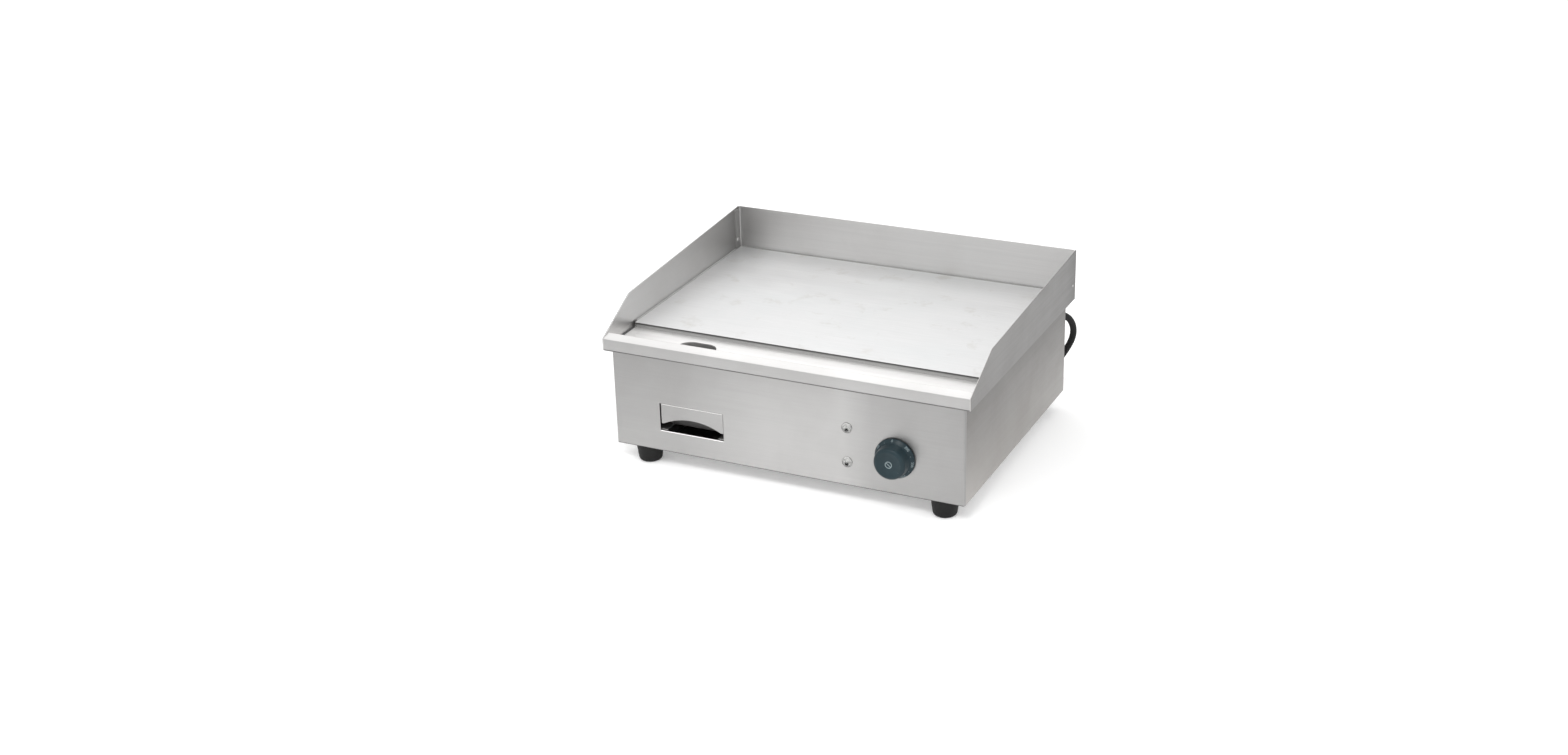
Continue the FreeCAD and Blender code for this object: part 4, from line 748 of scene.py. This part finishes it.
# ---- plug; millimetres -----------------------------------------------------------------------
PLUG_ENTRY = [(0, 0), (5.6, 0), (6.0, 0.4)]
PLUG_SHOULDER = [(7.6, 20.4), (8.6, 21.6), (10.8, 22.8), (13.2, 24.2), (15.0, 26.6),
                 (16.2, 29.8), (16.5, 33.0)]
PLUG_FACE = [(16.5, 40.0), (18.2, 41.2), (18.5, 41.8), (18.5, 57.0), (18.2, 57.7), (17.5, 58.0),
             (0, 58.0)]
RIBS, RIB_START, RIB_PITCH = 5, 2.0, 3.6
RIB_RADIUS, RIB_GROWTH, RIB_DEPTH = 6.4, 0.32, 1.0
GROOVES, GROOVE_START, GROOVE_PITCH = 3, 33.6, 1.9
GRIP_RADIUS, GROOVE_RADIUS = 16.5, 15.9
FLAT_START, FLAT_END, FLAT_HALF = 19, 55, 15.5      # the two flattened sides


def plug_profile():
    profile = list(PLUG_ENTRY)
    for rib in range(RIBS):
        start = RIB_START + RIB_PITCH * rib
        radius = RIB_RADIUS + RIB_GROWTH * rib
        profile += [(radius - RIB_DEPTH, start), (radius - RIB_DEPTH, start + 1.0),
                    (radius, start + 1.4), (radius, start + 2.8)]
    profile += PLUG_SHOULDER
    for groove in range(GROOVES):
        start = GROOVE_START + GROOVE_PITCH * groove
        profile += [(GRIP_RADIUS, start), (GROOVE_RADIUS, start + 0.3),
                    (GROOVE_RADIUS, start + 0.8), (GRIP_RADIUS, start + 1.1)]
    return profile + PLUG_FACE


def make_plug():
    """Round moulded plug with a ribbed cord entry, two flattened sides and a grooved grip."""
    low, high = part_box("plug_body")
    middle = (low + high) / 2
    place = Matrix(((0, 0, -1, high.x), (0, 1, 0, middle.y), (1, 0, 0, middle.z), (0, 0, 0, 1)))

    def build(work):
        lathe(work, scaled(plug_profile()), Matrix.Identity(4), 72)
        limit = FLAT_HALF * MM
        for vert in work.verts:
            if FLAT_START * MM < vert.co.z < FLAT_END * MM:
                vert.co.y = max(-limit, min(limit, vert.co.y))
            vert.co = place @ vert.co

    plug = link("plug_shell", mesh_from("plug_shell", build),
                "root", MATERIALS["rubber"], 30)
    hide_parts("plug_body")


make_knob()
make_lamp("upper_lamp")
make_lamp("lower_lamp")
make_plate_seal()
make_drawer_highlights()
make_shadow_lines()
make_trough_shadow_wedges()
make_plug()


# ---- mains cord ------------------------------------------------------------------------------
CORD_RADIUS = 5.1 * MM
CORD_ROUTE = [                              # millimetres, from the boot to the coil
    (226.0, 226.0, 121.0),
    (226.0, 250.0, 121.0),
    (229.5, 280.5, 120.0),
    (243.5, 309.5, 102.0),
    (244.5, 326.0, 68.5),
    (227.5, 325.0, 33.5),
    (210.5, 300.5, 9.5),
    (180.0, 280.5, 5.1),
    (143.0, 283.0, 5.1),
]
COIL_STUB = 36.0 * MM
COIL_TURN_RADIUS = 57.1 * MM
TURN_POINTS = 16
TURNS = 4
INWARD_TURN, OUTWARD_TURN, SHIFT_TURNS = 0.75, 2.75, 0.5    # where the coil changes its radius
CLIMB_TURN, CLIMB_TURNS = 1.7, 0.6                          # and where it climbs one layer
TAIL_RUN = 43.0 * MM
TAIL_STEPS = (20 * MM, 45 * MM, 65 * MM)                    # to the lift-off and to the plug
TAIL_SHIFT = 2 * MM
PLUG_HEIGHT = 18.6 * MM


def eased(share, start, length):
    """0 before start, 1 past start + length, straight between them."""
    return min(max(share - start, 0), length) / length


def coil_points(last, heading):
    """Two turns on the floor, then two on top of them, ending with the heading -X near the body."""
    contact = last + heading * COIL_STUB
    centre = contact + Vector((heading.y, -heading.x, 0)) * COIL_TURN_RADIUS
    start = math.atan2(contact.y - centre.y, contact.x - centre.x)
    sweep = start + math.pi / 2 + 2 * math.pi * TURNS
    count = round(sweep / (2 * math.pi) * TURN_POINTS)
    swell = 1 / math.cos(math.pi / TURN_POINTS) ** 0.5      # the curve runs inside its points
    points = []
    for step in range(count + 1):
        share = step / count * TURNS
        inner = eased(share, INWARD_TURN, SHIFT_TURNS) - eased(share, OUTWARD_TURN, SHIFT_TURNS)
        upper = eased(share, CLIMB_TURN, CLIMB_TURNS)
        radius = (COIL_TURN_RADIUS - 2 * CORD_RADIUS * inner) * swell
        height = CORD_RADIUS * (1 + 2 * upper)
        angle = start - sweep * step / count
        points.append(Vector((centre.x + radius * math.cos(angle),
                              centre.y + radius * math.sin(angle), height)))
    return centre, points


def cord_points():
    """Points of the whole cord: the seen bend, the coil, and the tail to the plug."""
    route = [Vector(point) * MM for point in CORD_ROUTE]
    heading = (route[-1] - route[-2]).normalized()
    centre, turns = coil_points(route[-1], heading)
    x = centre.x - TAIL_RUN
    y = centre.y - COIL_TURN_RADIUS
    low_run, lifted, plug_start = TAIL_STEPS
    tail = [
        Vector((x, y, 3 * CORD_RADIUS)),
        Vector((x - low_run, y, 3 * CORD_RADIUS)),
        Vector((x - lifted, y - TAIL_SHIFT, PLUG_HEIGHT)),
        Vector((x - plug_start, y - TAIL_SHIFT, PLUG_HEIGHT)),
    ]
    return route + turns + tail


def make_cord():
    points = cord_points()
    curve = bpy.data.curves.new("mains_cord", "CURVE")
    curve.dimensions = "3D"
    spline = curve.splines.new("NURBS")
    spline.points.add(len(points) - 1)
    for point, place in zip(spline.points, points):
        point.co = (*place, 1.0)
    spline.order_u = 3
    spline.use_endpoint_u = True
    spline.resolution_u = 8
    curve.bevel_depth = CORD_RADIUS
    curve.bevel_resolution = 6
    curve.use_fill_caps = True
    curve.materials.append(MATERIALS["cord"])
    cord = bpy.data.objects.new("mains_cord", curve)
    bpy.context.scene.collection.objects.link(cord)
    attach(cord, "root")
    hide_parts("power_cord", "cord_coil", "cord_tail")


make_cord()


# ---- camera, light and floor -----------------------------------------------------------------
CAMERA = {"azimuth": 26.076, "elevation": 23.630, "roll": -1.616, "distance": 3.2249,
          "lens": 47.51, "sensor": 36.0}
AIM = Vector((-0.16844, 0.15132, 0.0))
FLOOR_HALF = 30.0
RIGHT, LEFT, UP = (0, 1), (0, -1), (2, 1)           # (axis, sign)
SKY_LEVEL = 0.92
SKY_GLOW = [(RIGHT, RIGHT, 0.79), (LEFT, UP, 0.97)]         # (direction, direction, gain)


def make_camera():
    azimuth = math.radians(CAMERA["azimuth"])
    elevation = math.radians(CAMERA["elevation"])
    roll = math.radians(CAMERA["roll"])
    back = Vector((math.sin(azimuth) * math.cos(elevation),
                   -math.cos(azimuth) * math.cos(elevation), math.sin(elevation)))
    level = Vector((0, 0, 1)).cross(back).normalized()
    right = level * math.cos(roll) + back.cross(level) * math.sin(roll)
    up = back.cross(right)
    lens = bpy.data.cameras.new("camera")
    lens.lens = CAMERA["lens"]
    lens.sensor_width = CAMERA["sensor"]
    lens.sensor_fit = "HORIZONTAL"
    camera = bpy.data.objects.new("camera", lens)
    axes = Matrix((right, up, back)).transposed().to_4x4()
    camera.matrix_world = Matrix.Translation(AIM + back * CAMERA["distance"]) @ axes
    bpy.context.scene.collection.objects.link(camera)
    bpy.context.scene.camera = camera


def make_world():
    """Soft studio surround: an even level, with a wide glow between each pair of directions."""
    world = bpy.data.worlds.new("studio")
    bpy.context.scene.world = world
    world.use_nodes = True
    tree = world.node_tree

    def math_node(operation, first, second):
        node = tree.nodes.new("ShaderNodeMath")
        node.operation = operation
        for socket, value in zip(node.inputs, (first, second)):
            feed(tree, socket, value)
        return node.outputs["Value"]

    split = tree.nodes.new("ShaderNodeSeparateXYZ")
    directions = tree.nodes.new("ShaderNodeTexCoord").outputs["Generated"]
    tree.links.new(directions, split.inputs[0])

    def towards(direction):
        axis, sign = direction
        return math_node("MAXIMUM", math_node("MULTIPLY", split.outputs[axis], sign), 0.0)

    total = SKY_LEVEL
    for first, second, gain in SKY_GLOW:
        lobe = math_node("MULTIPLY", towards(first), towards(second))
        total = math_node("ADD", total, math_node("MULTIPLY", lobe, gain))
    background = tree.nodes["Background"]
    background.inputs["Color"].default_value = (1, 1, 1, 1)
    tree.links.new(total, background.inputs["Strength"])
    bpy.context.scene.view_settings.view_transform = "Standard"


def make_floor():
    """Pale floor that glows a little, which keeps the shadows on it faint."""
    mesh = mesh_from("floor", lambda work: bmesh.ops.create_grid(
        work, x_segments=2, y_segments=2, size=FLOOR_HALF))
    floor = bpy.data.objects.new("floor", mesh)
    bpy.context.scene.collection.objects.link(floor)
    paint = Shader("floor_paint", Roughness=0.9, Emission_Strength=0.21)
    mottle = paint.noise(3.0)
    paint.set("Base Color", paint.tint(mottle, grey(0.86), grey(0.88)))
    mesh.materials.append(paint.material)


def aim_light(name, lamp, place, target):
    """Puts a light in its place, shining towards the target."""
    light = bpy.data.objects.new(name, lamp)
    light.matrix_world = facing(Vector(place), Vector(place) - Vector(target))
    bpy.context.scene.collection.objects.link(light)


def area_light(name, place, target, size, power):
    lamp = bpy.data.lights.new(name, "AREA")
    lamp.shape = "RECTANGLE"
    lamp.size, lamp.size_y = size
    lamp.energy = power
    aim_light(name, lamp, place, target)


def spot_light(name, place, target, spread, power):
    """Round pool of light with a fully soft edge; spread in degrees."""
    lamp = bpy.data.lights.new(name, "SPOT")
    lamp.energy = power
    lamp.spot_size = math.radians(spread)
    lamp.spot_blend = 1.0
    lamp.shadow_soft_size = 0.3
    aim_light(name, lamp, place, target)


make_camera()
make_world()
make_floor()
area_light("top", place=(-0.3, 1.3, 2.0), target=(0, 0.1, 0.1), size=(2.2, 1.2), power=8.3)
spot_light("floor_pool", place=(0.15, -1.1, 1.2), target=(0, -0.45, 0), spread=38, power=67.0)
